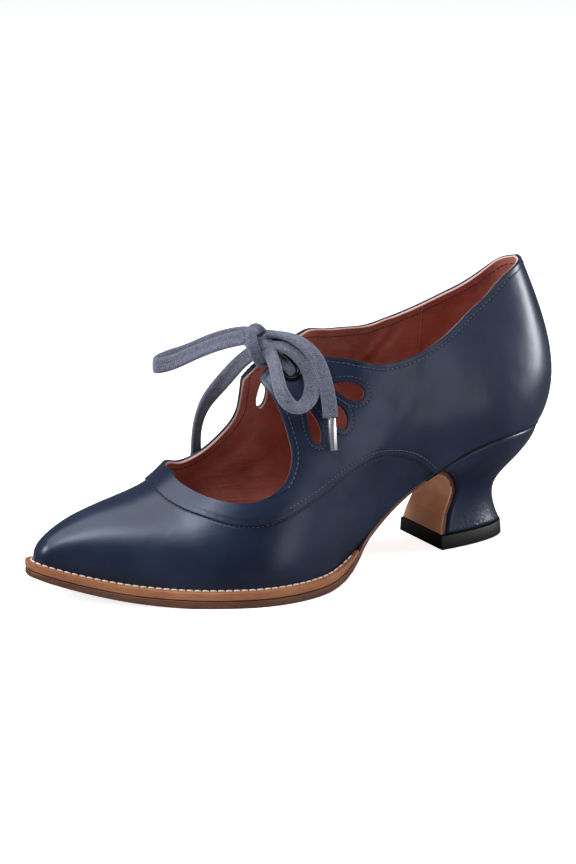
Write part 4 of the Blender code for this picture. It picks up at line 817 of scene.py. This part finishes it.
def patternLine(rows, side, spacing):
    places = np.array(rows, float)
    places[:, 0] *= side
    flat = layFlat(places)
    curve = makeCurve(np.concatenate([[0], np.cumsum(np.linalg.norm(np.diff(flat, axis=0), axis=1))]), flat)
    return liftUp(evenPoints(curve, spacing))


def teardrop(row, side, spacing):
    ends = layFlat([(side * row[0], row[1]), (side * row[2], row[3])])
    axis = ends[1] - ends[0]
    length = np.linalg.norm(axis)
    axis = axis / length
    across = np.array([-axis[1], axis[0]])
    turns = np.arange(0, 2 * math.pi, 2 * math.pi / int(2.2 * length / spacing))
    swell = np.sin(turns) * np.sin(turns / 2) ** 1.3
    return (ends[0] + np.outer(length * (1 - np.cos(turns)) / 2, axis)
            + np.outer(pattern["cutoutWidth"] / 1.62 * swell, across))


def eyeletHole(side):
    w, v = side * pattern["eyelet"][side][0], pattern["eyelet"][side][1]
    step = 1e-3
    slopes = np.array([(lastPoints(w + step, v) - lastPoints(w - step, v))[0],
                       (lastPoints(w, v + step) - lastPoints(w, v - step))[0]]) / (2 * step)
    first = slopes[0] / np.linalg.norm(slopes[0])
    second = np.cross(lastNormals(np.array([w]), np.array([v]))[0], first)
    turns = np.arange(22) * 2 * math.pi / 22
    circle = pattern["eyeletHole"] * (np.outer(np.cos(turns), first) + np.outer(np.sin(turns), second))
    return layFlat(np.array([w, v]) + np.linalg.lstsq(slopes.T, circle.T, rcond=None)[0].T)


def insideOf(points, outline):
    x, y = points[:, 0], points[:, 1]
    hit = np.zeros(len(points), bool)
    for (x1, y1), (x2, y2) in zip(outline, np.roll(outline, -1, axis=0)):
        if y1 != y2:
            hit ^= ((y1 > y) != (y2 > y)) & (x < (x2 - x1) * (y - y1) / (y2 - y1) + x1)
    return hit


def nearestGap(points, line):
    best = np.full(len(points), 1.0)
    for start in range(0, len(line), 200):
        chunk = line[start:start + 200]
        gaps = np.linalg.norm(points[:, None] - chunk[None], axis=2).min(axis=1)
        best = np.minimum(best, gaps)
    return best


def creaseDepth(places, lines):
    flat = layFlat(places)
    depth = np.zeros(len(flat))
    for points, halfWidth, deep in lines:
        line = layFlat(patternLine(points, 1, 0.0005))
        gap = nearestGap(flat, line)
        beside = 0.35 * np.exp(-((gap - 2 * halfWidth) / halfWidth) ** 2)    # the leather swells beside it
        depth += deep * (np.exp(-(gap / halfWidth) ** 2) - beside)
    return depth


def seamLines(spacing):
    # the overlay's edge and the lines beside it, from the leather below it to its top
    middle = patternLine(pattern["seam"], 1, spacing)
    flat = layFlat(middle)
    along = np.gradient(flat, axis=0)
    across = unit(np.stack([-along[:, 1], along[:, 0]], 1))
    lines = []
    for away, _ in pattern["seamStep"]:
        line = liftUp(flat + away * across)
        line[0, 1], line[-1, 1] = 0, 1
        lines.append(line)
    return middle, lines


def patternEdge(seams, spacing):
    # all round the upper: feather line, ridge in front of the keyhole, and the opening on each side
    shares = np.concatenate([np.arange(0, 0.95, spacing / last["half"]), np.linspace(0.955, 1, 16),
                             [line[0, 0] for line in seams]])
    foot = np.unique(np.round(np.concatenate([-shares, shares]), 9))
    front = pattern["keyhole"][1][0][0]
    ridge = np.linspace(1, front, int((1 - front) * last["half"] / spacing) + 1)[1:-1]
    ends = np.array([line[-1, 0] for line in seams])
    ridge = ridge[np.abs(ridge[:, None] - ends).min(axis=1) > 0.4 * spacing / last["half"]]
    ridge = np.sort(np.concatenate([ridge, ends]))[::-1]
    opening = {}
    for side in (1, -1):
        rows = pattern["keyhole"][side] + pattern["tab"][side] + pattern["collar"][side]
        opening[side] = patternLine(rows, side, spacing)
        opening[side][0, 1] = 1
    edge = np.array([(w, 0.0) for w in foot] + [(w, 1.0) for w in ridge] + [tuple(p) for p in opening[1]]
                    + [tuple(p) for p in opening[-1][-2::-1]] + [(-w, 1.0) for w in ridge[::-1]])
    return edge, opening


def patternHoles(spacing):
    # three teardrops on each side, then the two eyelet holes
    holes = [teardrop(row, side, spacing * 0.75) for side in (1, -1) for row in pattern["cutouts"][side]]
    holes += [eyeletHole(1), eyeletHole(-1)]
    return [liftUp(hole) for hole in holes]


def fillPattern(edge, holes, seams, spacing):
    # even triangles between the pattern's lines
    places, links, stepAt = [], [], {}
    for line in [edge] + holes:
        start = len(places)
        places.extend(map(tuple, line))
        links.extend((start + i, start + (i + 1) % len(line)) for i in range(len(line)))
    for line, (away, _) in zip(seams, pattern["seamStep"]):
        for side in (1, -1):
            start = len(places)
            places.extend((float(side * w), float(v)) for w, v in line)
            links.extend((start + i, start + i + 1) for i in range(len(line) - 1))
        for end in (0, -1):
            stepAt[round(float(line[end, 0]), 7), end] = away
        stepAt.update({n: away for n in range(len(places) - 2 * len(line), len(places))})
    places = np.array(places)
    sheet = layFlat(places)
    outline = sheet[:len(edge)]
    rowHeight = spacing * math.sqrt(3) / 2
    count = int(last["half"] / spacing) + 1
    rowCount = int(outline[:, 1].max() / rowHeight) + 1
    grid = np.array([((i + 0.5 * (j % 2)) * spacing, (j + 0.5) * rowHeight)
                     for j in range(rowCount) for i in range(-count, count + 1)])
    grid = grid[insideOf(grid, outline)]
    for hole in holes:
        grid = grid[~insideOf(grid, layFlat(hole))]
    grid = grid[nearestGap(grid, sheet) > 0.6 * spacing]
    places = np.concatenate([places, liftUp(grid)])
    sheet = np.concatenate([sheet, grid])
    result = delaunay_2d_cdt([Vector((x * 1000, y * 1000)) for x, y in sheet], links, [], 0, 1e-5)
    flat = np.array([tuple(p) for p in result[0]]) / 1000
    source = [origin[0] for origin in result[3]]
    middle = np.array([flat[list(face)].mean(axis=0) for face in result[2]])
    keep = insideOf(middle, outline)
    for hole in holes:
        keep &= ~insideOf(middle, layFlat(hole))
    triangles = [[source[i] for i in face] for face, kept in zip(result[2], keep) if kept]
    return places, triangles, stepAt


def seamDistances(places, seamLine, stepAt):
    # from the overlay's edge, in metres, and below it with a minus
    seamAt = np.interp(np.abs(places[:, 0]), seamLine[:, 0], seamLine[:, 1], left=-1, right=2)
    gap = nearestGap(layFlat(np.abs(places)), layFlat(patternLine(pattern["seam"], 1, 0.0002)))
    gap = np.where(places[:, 1] > seamAt, gap, -gap)
    for n, (w, v) in enumerate(places):
        end = {0.0: 0, 1.0: -1}.get(float(v))
        gap[n] = stepAt.get(n, stepAt.get((round(abs(float(w)), 7), end), gap[n]))
    return gap


def joinAlike(points):
    # one vertex for the places that meet on the ridge and at the toe's point
    number, first, joined = {}, [], []
    for i, spot in enumerate(np.round(points * 1e7).astype(int)):
        key = tuple(spot)
        if key not in number:
            number[key] = len(first)
            first.append(i)
        joined.append(number[key])
    return joined, first


def freeEdges(triangles, inner, normal):
    # the cut edges, and the way each points out of the leather
    seen = {}
    for a, b, c in triangles:
        for i, j, k in ((a, b, c), (b, c, a), (c, a, b)):
            seen.setdefault((min(i, j), max(i, j)), []).append((int(i), int(j), int(k)))
    free = [group[0] for group in seen.values() if len(group) == 1]
    away = np.zeros_like(inner)
    for i, j, k in free:
        out = np.cross(inner[j] - inner[i], normal[i] + normal[j])
        out /= max(np.linalg.norm(out), 1e-12)
        if out @ (inner[k] - inner[i]) > 0:
            out = -out
        away[i] += out
        away[j] += out
    return free, unit(away)


def makeUpper():
    seamLine, seams = seamLines(pattern["mesh"])
    edge, opening = patternEdge(seams, pattern["mesh"])
    holes = patternHoles(pattern["mesh"])
    places, corners, stepAt = fillPattern(edge, holes, seams, pattern["mesh"])
    seamGap = seamDistances(places, seamLine, stepAt)
    fold = (places[:, 1] > 1 - 1e-6) | (np.abs(places[:, 0]) > 1 - 1e-6)
    places[fold, 0] = np.abs(places[fold, 0])
    inner = lastPoints(places[:, 0], places[:, 1])
    normal = lastNormals(places[:, 0], places[:, 1])
    step = np.interp(seamGap, *np.array(pattern["seamStep"]).T)
    wall = lastSizes["vampWall"] + lastSizes["overlayStep"] * step
    joined, first = joinAlike(inner)
    corners = [[joined[i] for i in face] for face in corners]
    tri = np.array([face for face in corners if len(set(face)) == 3])
    inner, normal, wall = inner[first], normal[first], wall[first]
    places, seamGap = places[first], seamGap[first]
    outer = inner + normal * wall[:, None]
    low = places[:, 1] < 1e-6
    outer[low, 2] = footHeight(outer[low, 0])
    facing = (np.cross(outer[tri[:, 1]] - outer[tri[:, 0]], outer[tri[:, 2]] - outer[tri[:, 0]])
              * normal[tri].sum(axis=1)).sum(axis=1)
    tri[facing < 0] = tri[facing < 0][:, ::-1]
    grow = np.clip(places[:, 1] * 8, 0, 1)    # no crease reaches the feather line
    inner = inner + normal * (creaseDepth(places, creases["lining"]) * grow)[:, None]
    outer = outer - normal * (creaseDepth(places, creases["outside"]) * grow)[:, None]
    free, away = freeEdges(tri, inner, normal)
    rows, slots = pattern["edgeRows"], pattern["edgeSlots"]
    points = [outer, inner]
    base = {0.0: len(outer), 1.0: 0}
    rimIndex = sorted({i for i, j, k in free} | {j for i, j, k in free})
    rimNumber = {v: n for n, v in enumerate(rimIndex)}
    total = 2 * len(outer)
    for row in rows[1:-1]:
        most = np.where(places[rimIndex, 1] < 1e-6, 0, pattern["edgeBulge"])
        bulge = most * math.sin(math.pi * row) ** 0.7
        points.append(inner[rimIndex] + (outer - inner)[rimIndex] * row
                      + away[rimIndex] * (bulge * wall[rimIndex])[:, None])
        base[row] = total
        total += len(rimIndex)

    def vertex(i, row):
        return base[row] + (i if row in (0.0, 1.0) else rimNumber[i])

    faces = [tuple(map(int, t)) for t in tri]
    faceSlots = [0] * len(tri)
    faces += [tuple(int(i) + len(outer) for i in t[::-1]) for t in tri]
    faceSlots += [1] * len(tri)
    for i, j, k in free:
        for n in range(len(rows) - 1):
            low, high = rows[n], rows[n + 1]
            faces.append((vertex(j, high), vertex(i, high), vertex(i, low), vertex(j, low)))
            faceSlots.append(slots[n])
    piece = newPiece("upperLeather", np.concatenate(points), faces,
                     [upperOutside, lining, finish["cutEdge"]], faceSlots)
    # distances in millimetres that the materials read
    seamGap = seamGap * 1000
    rimSpots = inner[[i for i in rimIndex if places[i, 1] > 1e-6]]
    # in front of the keyhole the throat's band is folded and has no row of stitches
    past = np.clip(np.abs(places[:, 0]) - pattern["bandStart"], 0, 1)
    edgeGap = nearestGap(inner, rimSpots) * 1000 + past * 60
    between = len(rows) - 2
    addNumbers(piece, "seamGap", np.concatenate([seamGap, seamGap] + [seamGap[rimIndex]] * between))
    addNumbers(piece, "edgeGap", np.concatenate([edgeGap, edgeGap, np.zeros(len(rimIndex) * between)]))
    selectOnly(piece)
    bpy.ops.object.shade_smooth_by_angle(angle=math.radians(38))
    outside = BVHTree.FromPolygons([tuple(p) for p in outer], [tuple(map(int, t)) for t in tri])
    inside = BVHTree.FromPolygons([tuple(p) for p in inner], [tuple(map(int, t)) for t in tri])
    return piece, outside, inside, {"opening": [opening[1], opening[-1]], "holes": holes}


upper, upperTree, liningTree, cutLines = makeUpper()
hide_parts("upper")
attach(upper, "root")
print("upper made:", len(upper.data.polygons), "faces")


# rows of stitches

stitchRows = {"edge": {"away": 0.0019, "until": 0.605, "pitch": 0.0021, "long": 0.00150, "radius": 0.00021},
              "seam": {"rows": (0.0013, 0.0025), "throat": 0.60, "pitch": 0.0019, "long": 0.0014,
                       "radius": 0.00022},
              "cutout": {"away": 0.0020, "pitch": 0.0017, "long": 0.00115, "radius": 0.00020},
              "inside": {"away": 0.0030, "pitch": 0.0024, "long": 0.00165, "radius": 0.00020},
              "welt": {"away": 0.0025, "pitch": 0.0031, "long": 0.0028, "radius": 0.00046, "start": 0.34,
                       "back": 0.0735}}


def evenTrack(points, pitch, closed=False):
    points = np.asarray(points, float)
    if closed:
        points = np.concatenate([points, points[:1]])
    length = np.concatenate([[0], np.cumsum(np.linalg.norm(np.diff(points, axis=0), axis=1))])
    count = max(3, int(round(length[-1] / pitch)))
    spots = (np.arange(count) + (0 if closed else 0.5)) * length[-1] / count
    ahead, behind = spots + pitch * 0.25, spots - pitch * 0.25

    def at(lengths):
        return np.stack([np.interp(lengths, length, points[:, k]) for k in range(3)], 1)

    if closed:
        ahead, behind = ahead % length[-1], behind % length[-1]
    return at(spots), unit(at(np.clip(ahead, 0, length[-1])) - at(np.clip(behind, 0, length[-1])))


def shiftedLine(places, away, tree, closed=False, inward=1):
    # a line on the leather at a distance from a cut edge
    points = lastPoints(places[:, 0], places[:, 1])
    normals = lastNormals(places[:, 0], places[:, 1])
    if closed:
        track = np.roll(points, -1, axis=0) - np.roll(points, 1, axis=0)
    else:
        track = np.gradient(points, axis=0)
    shift = unit(np.cross(normals, unit(track))) * inward
    return np.array([tuple(tree.find_nearest(Vector(point))[0]) for point in points + shift * away])


def stitchMesh(name, lines, values, tree, materials, lift=0.00006, facing=1, sides=6):
    profile = ((-0.5, 0.35), (-0.38, 0.85), (0.0, 1.0), (0.38, 0.85), (0.5, 0.35))
    points, faces, slots = [], [], []
    for line, closed in lines:
        spots, along = evenTrack(line, values["pitch"], closed)
        for spot, way in zip(spots, along):
            found = tree.find_nearest(Vector(spot))
            normal = np.array(found[1]) * facing    # a lining faces the foot
            base = np.array(found[0]) + normal * lift
            side = unit(np.cross(way, normal))
            start = len(points)
            for share, size in profile:
                sunk = 0.9 * values["radius"] if abs(share) > 0.45 else 0.0
                middle = base + way * share * values["long"] - normal * sunk
                for k in range(sides):
                    angle = 2 * math.pi * k / sides
                    points.append(middle + values["radius"] * size * (math.cos(angle) * side
                                                                      + math.sin(angle) * normal))
            for n in range(len(profile) - 1):
                for k in range(sides):
                    j = (k + 1) % sides
                    faces.append((start + n * sides + k, start + n * sides + j,
                                  start + (n + 1) * sides + j, start + (n + 1) * sides + k))
                    slots.append(0)
            faces.append(tuple(start + k for k in range(sides))[::-1])
            faces.append(tuple(start + (len(profile) - 1) * sides + k for k in range(sides)))
            slots += [0, 0]
            # the needle hole between this stitch and the next: a small disc on the second slot, near-black
            # painted shade on the navy rows
            hole = np.array(found[0]) + way * values["pitch"] / 2
            low = len(points)
            for k in range(8):
                angle = 2 * math.pi * k / 8
                around = math.cos(angle) * side + math.sin(angle) * way
                points.append(hole + 1.3 * values["radius"] * around + normal * 0.00001)
            points.append(hole + normal * 0.00007)
            points.append(hole - normal * 0.00015)
            for k in range(8):
                j = (k + 1) % 8
                faces.append((low + k, low + j, low + 8))
                faces.append((low + j, low + k, low + 9))
                slots += [1, 1]
    piece = newPiece(name, points, faces, materials, slots)
    fixNormals(piece)
    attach(piece, "root")
    return piece


def makeLine(name, points, radius, material, sides=8):
    # a thin cord-like line: a raised lining seam, or the painted shadow in the joint above the heel
    points = np.asarray(points, float)
    along = unit(np.gradient(points, axis=0))
    side = unit(np.cross(along, (0.3, 0.2, 0.93)))
    up = np.cross(side, along)
    angles = np.arange(sides) * 2 * math.pi / sides
    ring = np.cos(angles)[None, :, None] * side[:, None] + np.sin(angles)[None, :, None] * up[:, None]
    spots = (points[:, None] + radius * ring).reshape(-1, 3)
    faces = []
    for i in range(len(points) - 1):
        low, high = i * sides, (i + 1) * sides
        faces += [(low + k, low + (k + 1) % sides, high + (k + 1) % sides, high + k) for k in range(sides)]
    faces += [tuple(range(sides))[::-1], tuple(range((len(points) - 1) * sides, len(points) * sides))]
    piece = newPiece(name, spots, faces, [material])
    fixNormals(piece)
    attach(piece, "root")


def seamRow(side, away, throat):
    # above the overlay's edge; the second row stops where the throat's band begins
    line = patternLine(pattern["seam"], side, 0.001)
    line = line[(line[:, 1] > 0.03) & (line[:, 1] < 0.985) & (np.abs(line[:, 0]) < throat)]
    return shiftedLine(line, away, upperTree, inward=-side)


openings = [line[(line[:, 1] < 0.995)] for line in cutLines["opening"]]
edgeLines = [(shiftedLine(line[np.abs(line[:, 0]) < stitchRows["edge"]["until"]], stitchRows["edge"]["away"],
                          upperTree, inward=sign), False) for line, sign in zip(openings, (-1, 1))]
navyStitch = [finish["navyThread"], finish["needleHoleShade"]]
stitchMesh("edgeStitches", edgeLines, stitchRows["edge"], upperTree, navyStitch)
lowRow, highRow = stitchRows["seam"]["rows"]
seamTracks = [(seamRow(side, away, limit), False) for side in (1, -1)
              for away, limit in ((lowRow, 1.0), (highRow, stitchRows["seam"]["throat"]))]
stitchMesh("seamStitches", seamTracks, stitchRows["seam"], upperTree, navyStitch)
cutoutLines = []
for hole in cutLines["holes"][:6]:
    track = shiftedLine(hole, stitchRows["cutout"]["away"], upperTree, closed=True, inward=-1)
    cutoutLines.append((track, True))
stitchMesh("cutoutStitches", cutoutLines, stitchRows["cutout"], upperTree, navyStitch)
insideLines = [(shiftedLine(line, stitchRows["inside"]["away"], liningTree, inward=sign), False)
               for line, sign in zip(openings, (-1, 1))]
stitchMesh("liningStitches", insideLines, stitchRows["inside"], liningTree, [finish["brownThread"]] * 2,
           lift=0.00003, facing=-1)
# the lining's raised side seams, a little lower on the inner side
liningSeam = {"places": ((0.200, 0.705), (0.198, 0.60), (0.197, 0.45), (0.196, 0.30), (0.195, 0.10)),
              "medialDrop": 0.01, "radius": 0.00034}
for side, name in ((1, "liningSeamLateral"), (-1, "liningSeamMedial")):
    drop = liningSeam["medialDrop"] if side < 0 else 0.0
    line = patternLine([(w, v - drop) for w, v in liningSeam["places"]], side, 0.001)
    onLining = [tuple(liningTree.find_nearest(Vector(p))[0]) for p in lastPoints(line[:, 0], line[:, 1])]
    makeLine(name, onLining, liningSeam["radius"], lining)
print("stitches made")


# bottom pieces: the CAD solids' shapes, merged, rounded at their edges and finished

def dressNode(node, name, materials, bevel=0.0, sharp=35, levels=0, slots=None):
    bpy.ops.object.select_all(action="DESELECT")
    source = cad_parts[node]
    piece = bpy.data.objects.new(name, source.data.copy())
    bpy.context.scene.collection.objects.link(piece)
    piece.data.materials.clear()
    for material in materials:
        piece.data.materials.append(material)
    selectOnly(piece)
    bpy.ops.object.mode_set(mode="EDIT")
    bpy.ops.mesh.select_all(action="SELECT")
    bpy.ops.mesh.remove_doubles(threshold=0.000005)
    bpy.ops.mesh.tris_convert_to_quads(face_threshold=math.radians(50), shape_threshold=math.radians(60))
    if levels:
        bpy.ops.mesh.select_mode(type="EDGE")
        bpy.ops.mesh.select_all(action="DESELECT")
        bpy.ops.mesh.edges_select_sharp(sharpness=math.radians(sharp))
        bpy.ops.transform.edge_crease(value=0.93)
    bpy.ops.object.mode_set(mode="OBJECT")
    if levels:
        subdivide = piece.modifiers.new("subdivide", "SUBSURF")
        subdivide.levels = subdivide.render_levels = levels
        bpy.ops.object.modifier_apply(modifier="subdivide")
    if bevel:
        soft = piece.modifiers.new("soft", "BEVEL")
        soft.width, soft.segments, soft.limit_method = bevel, 2, "ANGLE"
        soft.angle_limit = math.radians(sharp)
        bpy.ops.object.modifier_apply(modifier="soft")
    if slots:
        centre = np.array([tuple(p.center) for p in piece.data.polygons])
        facing = np.array([tuple(p.normal) for p in piece.data.polygons])
        piece.data.polygons.foreach_set("material_index", slots(centre, facing).astype(np.int32))
    selectOnly(piece)
    bpy.ops.object.shade_smooth_by_angle(angle=math.radians(sharp))
    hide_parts(node)
    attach(piece, "root")
    return piece


def outsoleSlots(centre, facing):
    # 0 the edge, 1 the underside, 2 the flap over the heel's front
    slots = np.zeros(len(centre))
    slots[facing[:, 2] < -0.6] = 1
    slots[(centre[:, 0] < 0.0285) & (facing[:, 0] > 0.15)] = 2
    slots[(centre[:, 0] < 0.029) & (slots == 1)] = 2
    return slots


dressNode("outsole", "sole", [finish["soleEdge"], finish["soleBottom"], finish["breastLeather"]],
          bevel=0.0005, sharp=40, slots=outsoleSlots)
welt = dressNode("welt", "weltStrip", [finish["weltLeather"]], bevel=0.0004, sharp=40)
dressNode("insole", "sock", [finish["sockLeather"]], bevel=0.0006, sharp=40)
dressNode("heel", "heelBlock", [heelCover], levels=2, sharp=50)
dressNode("top_lift", "liftPiece", [finish["liftRubber"]], bevel=0.0004, sharp=40)
print("bottom made")


# painted shadow: a near-black cord laid in the joint between the upper and the heel's cover
seatJointShadow = {"reach": 0.315, "out": 0.00235, "down": 0.00015, "radius": 0.00035}
seat = footPoints(np.linspace(-seatJointShadow["reach"], seatJointShadow["reach"], 120), seatJointShadow["out"])
seat[:, 2] -= seatJointShadow["down"]
makeLine("seatJointShadow", seat, seatJointShadow["radius"], finish["jointShadow"])


# white stitches on the welt's top

def weltStitches():
    row = stitchRows["welt"]
    weltTree = BVHTree.FromObject(welt, bpy.context.evaluated_depsgraph_get())
    w = np.concatenate([np.linspace(row["start"], 1, 140), -np.linspace(1, row["start"], 140)[1:]])
    line = footPoints(w, row["away"])
    line[:, 2] -= lastSizes["gap"]
    line = line[line[:, 0] > row["back"]]
    stitchMesh("weltStitches", [(line, False)], row, weltTree,
               [finish["whiteThread"], finish["weltLeather"]], lift=0.00012)


weltStitches()


# eyelets: a rolled rim and its barrel

eyeletShape = {"rim": 0.0041, "bore": 0.0020, "height": 0.0011, "depth": 0.0030}


def makeEyelet(side, name, node):
    w, v = np.array([side * pattern["eyelet"][side][0]]), np.array([pattern["eyelet"][side][1]])
    normal = lastNormals(w, v)[0]
    wall = lastSizes["vampWall"] + lastSizes["overlayStep"]
    centre = lastPoints(w, v)[0] + normal * wall
    bpy.ops.object.select_all(action="DESELECT")
    bpy.ops.mesh.primitive_circle_add(vertices=40, radius=eyeletShape["rim"], fill_type="NOTHING")
    piece = bpy.context.active_object
    piece.name = name
    bpy.ops.object.mode_set(mode="EDIT")
    steps = ((1.0, 0.45), (0.93, 0.85), (0.82, 1.0), (0.68, 0.92), (0.56, 0.55), (0.49, 0.0), (0.49, -2.4))
    size, height = 1.0, 0.0
    for share, level in steps:
        bpy.ops.mesh.extrude_edges_move()
        bpy.ops.transform.resize(value=(share / size, share / size, 1))
        bpy.ops.transform.translate(value=(0, 0, (level - height) * eyeletShape["height"]))
        size, height = share, level
    bpy.ops.object.mode_set(mode="OBJECT")
    turn = Vector((0, 0, 1)).rotation_difference(Vector(normal)).to_matrix().to_4x4()
    piece.data.transform(Matrix.Translation(Vector(centre) + Vector(normal) * 0.00012) @ turn)
    thicken = piece.modifiers.new("wall", "SOLIDIFY")
    thicken.thickness, thicken.offset = 0.0003, -1
    bpy.ops.object.modifier_apply(modifier="wall")
    fixNormals(piece)
    piece.data.materials.append(finish["eyeletMetal"])
    piece.data.shade_smooth()
    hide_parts(node)
    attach(piece, "root")


makeEyelet(1, "eyeletLateral", "eyelet_lateral")
makeEyelet(-1, "eyeletMedial", "eyelet_medial")
print("eyelets made")


# floor and light

def makeFloor():
    bpy.ops.object.select_all(action="DESELECT")
    bpy.ops.mesh.primitive_plane_add(size=8)
    floor = bpy.context.active_object
    floor.name = "floor"
    material, tree, shader, place = startMaterial("paleFloor", 0.8, specular=0.1)
    noise = addNode(tree, "ShaderNodeTexNoise", {"Vector": place, "Scale": 3.0})
    pale = mixColours(tree, noise.outputs["Fac"], (0.86, 0.86, 0.87), (0.90, 0.90, 0.905))
    rays = addNode(tree, "ShaderNodeLightPath")
    seen = rays.outputs["Is Camera Ray"]
    bounced = maths(tree, "MAXIMUM", seen, rays.outputs["Is Diffuse Ray"])
    tree.links.new(mixColours(tree, bounced, (0.16, 0.16, 0.17), pale), shader.inputs["Base Color"])
    tree.links.new(mixColours(tree, seen, (0.0, 0.0, 0.0), (1.0, 1.0, 1.0)), shader.inputs["Emission Color"])
    shader.inputs["Emission Strength"].default_value = 0.84
    floor.data.materials.append(material)


def addLight(name, place, target, size, power, colour=(1, 1, 1)):
    data = bpy.data.lights.new(name, "AREA")
    data.shape = "RECTANGLE"
    data.size, data.size_y = size
    data.energy = power
    data.color = colour
    light = bpy.data.objects.new(name, data)
    bpy.context.scene.collection.objects.link(light)
    light.location = place
    light.rotation_euler = (Vector(target) - Vector(place)).to_track_quat("-Z", "Y").to_euler()


studio = {
    "topSoft": {"place": (0.47, -0.12, 1.05), "target": (0.12, 0, 0.05), "size": (1.2, 1.15), "power": 12},
    "toeSoft": {"place": (1.05, -0.30, 0.55), "target": (0.15, 0, 0.03), "size": (0.28, 0.28), "power": 4},
    "frontSoft": {"place": (0.70, 0.26, 1.07), "target": (0.09, 0, 0.05), "size": (0.34, 0.34),
                  "power": 3.2},
    "sideSoft": {"place": (-0.40, 1.13, 0.22), "target": (0.03, 0.03, 0.07), "size": (0.52, 0.55),
                 "power": 1.5},
    "backSoft": {"place": (-1.05, 0.33, 0.25), "target": (-0.02, 0, 0.07), "size": (0.30, 0.40),
                 "power": 6.5}}
makeFloor()
for name, light in studio.items():
    addLight(name, light["place"], light["target"], light["size"], light["power"])
world = bpy.data.worlds.new("paleRoom")
world.use_nodes = True
room = world.node_tree
background = room.nodes["Background"]
seen = addNode(room, "ShaderNodeLightPath").outputs["Is Camera Ray"]
room.links.new(mixColours(room, seen, (0.110, 0.114, 0.125), (1.0, 1.0, 1.0)), background.inputs["Color"])
background.inputs["Strength"].default_value = 1.0
bpy.context.scene.world = world
bpy.context.scene.view_settings.view_transform = "Standard"
print("stage made")
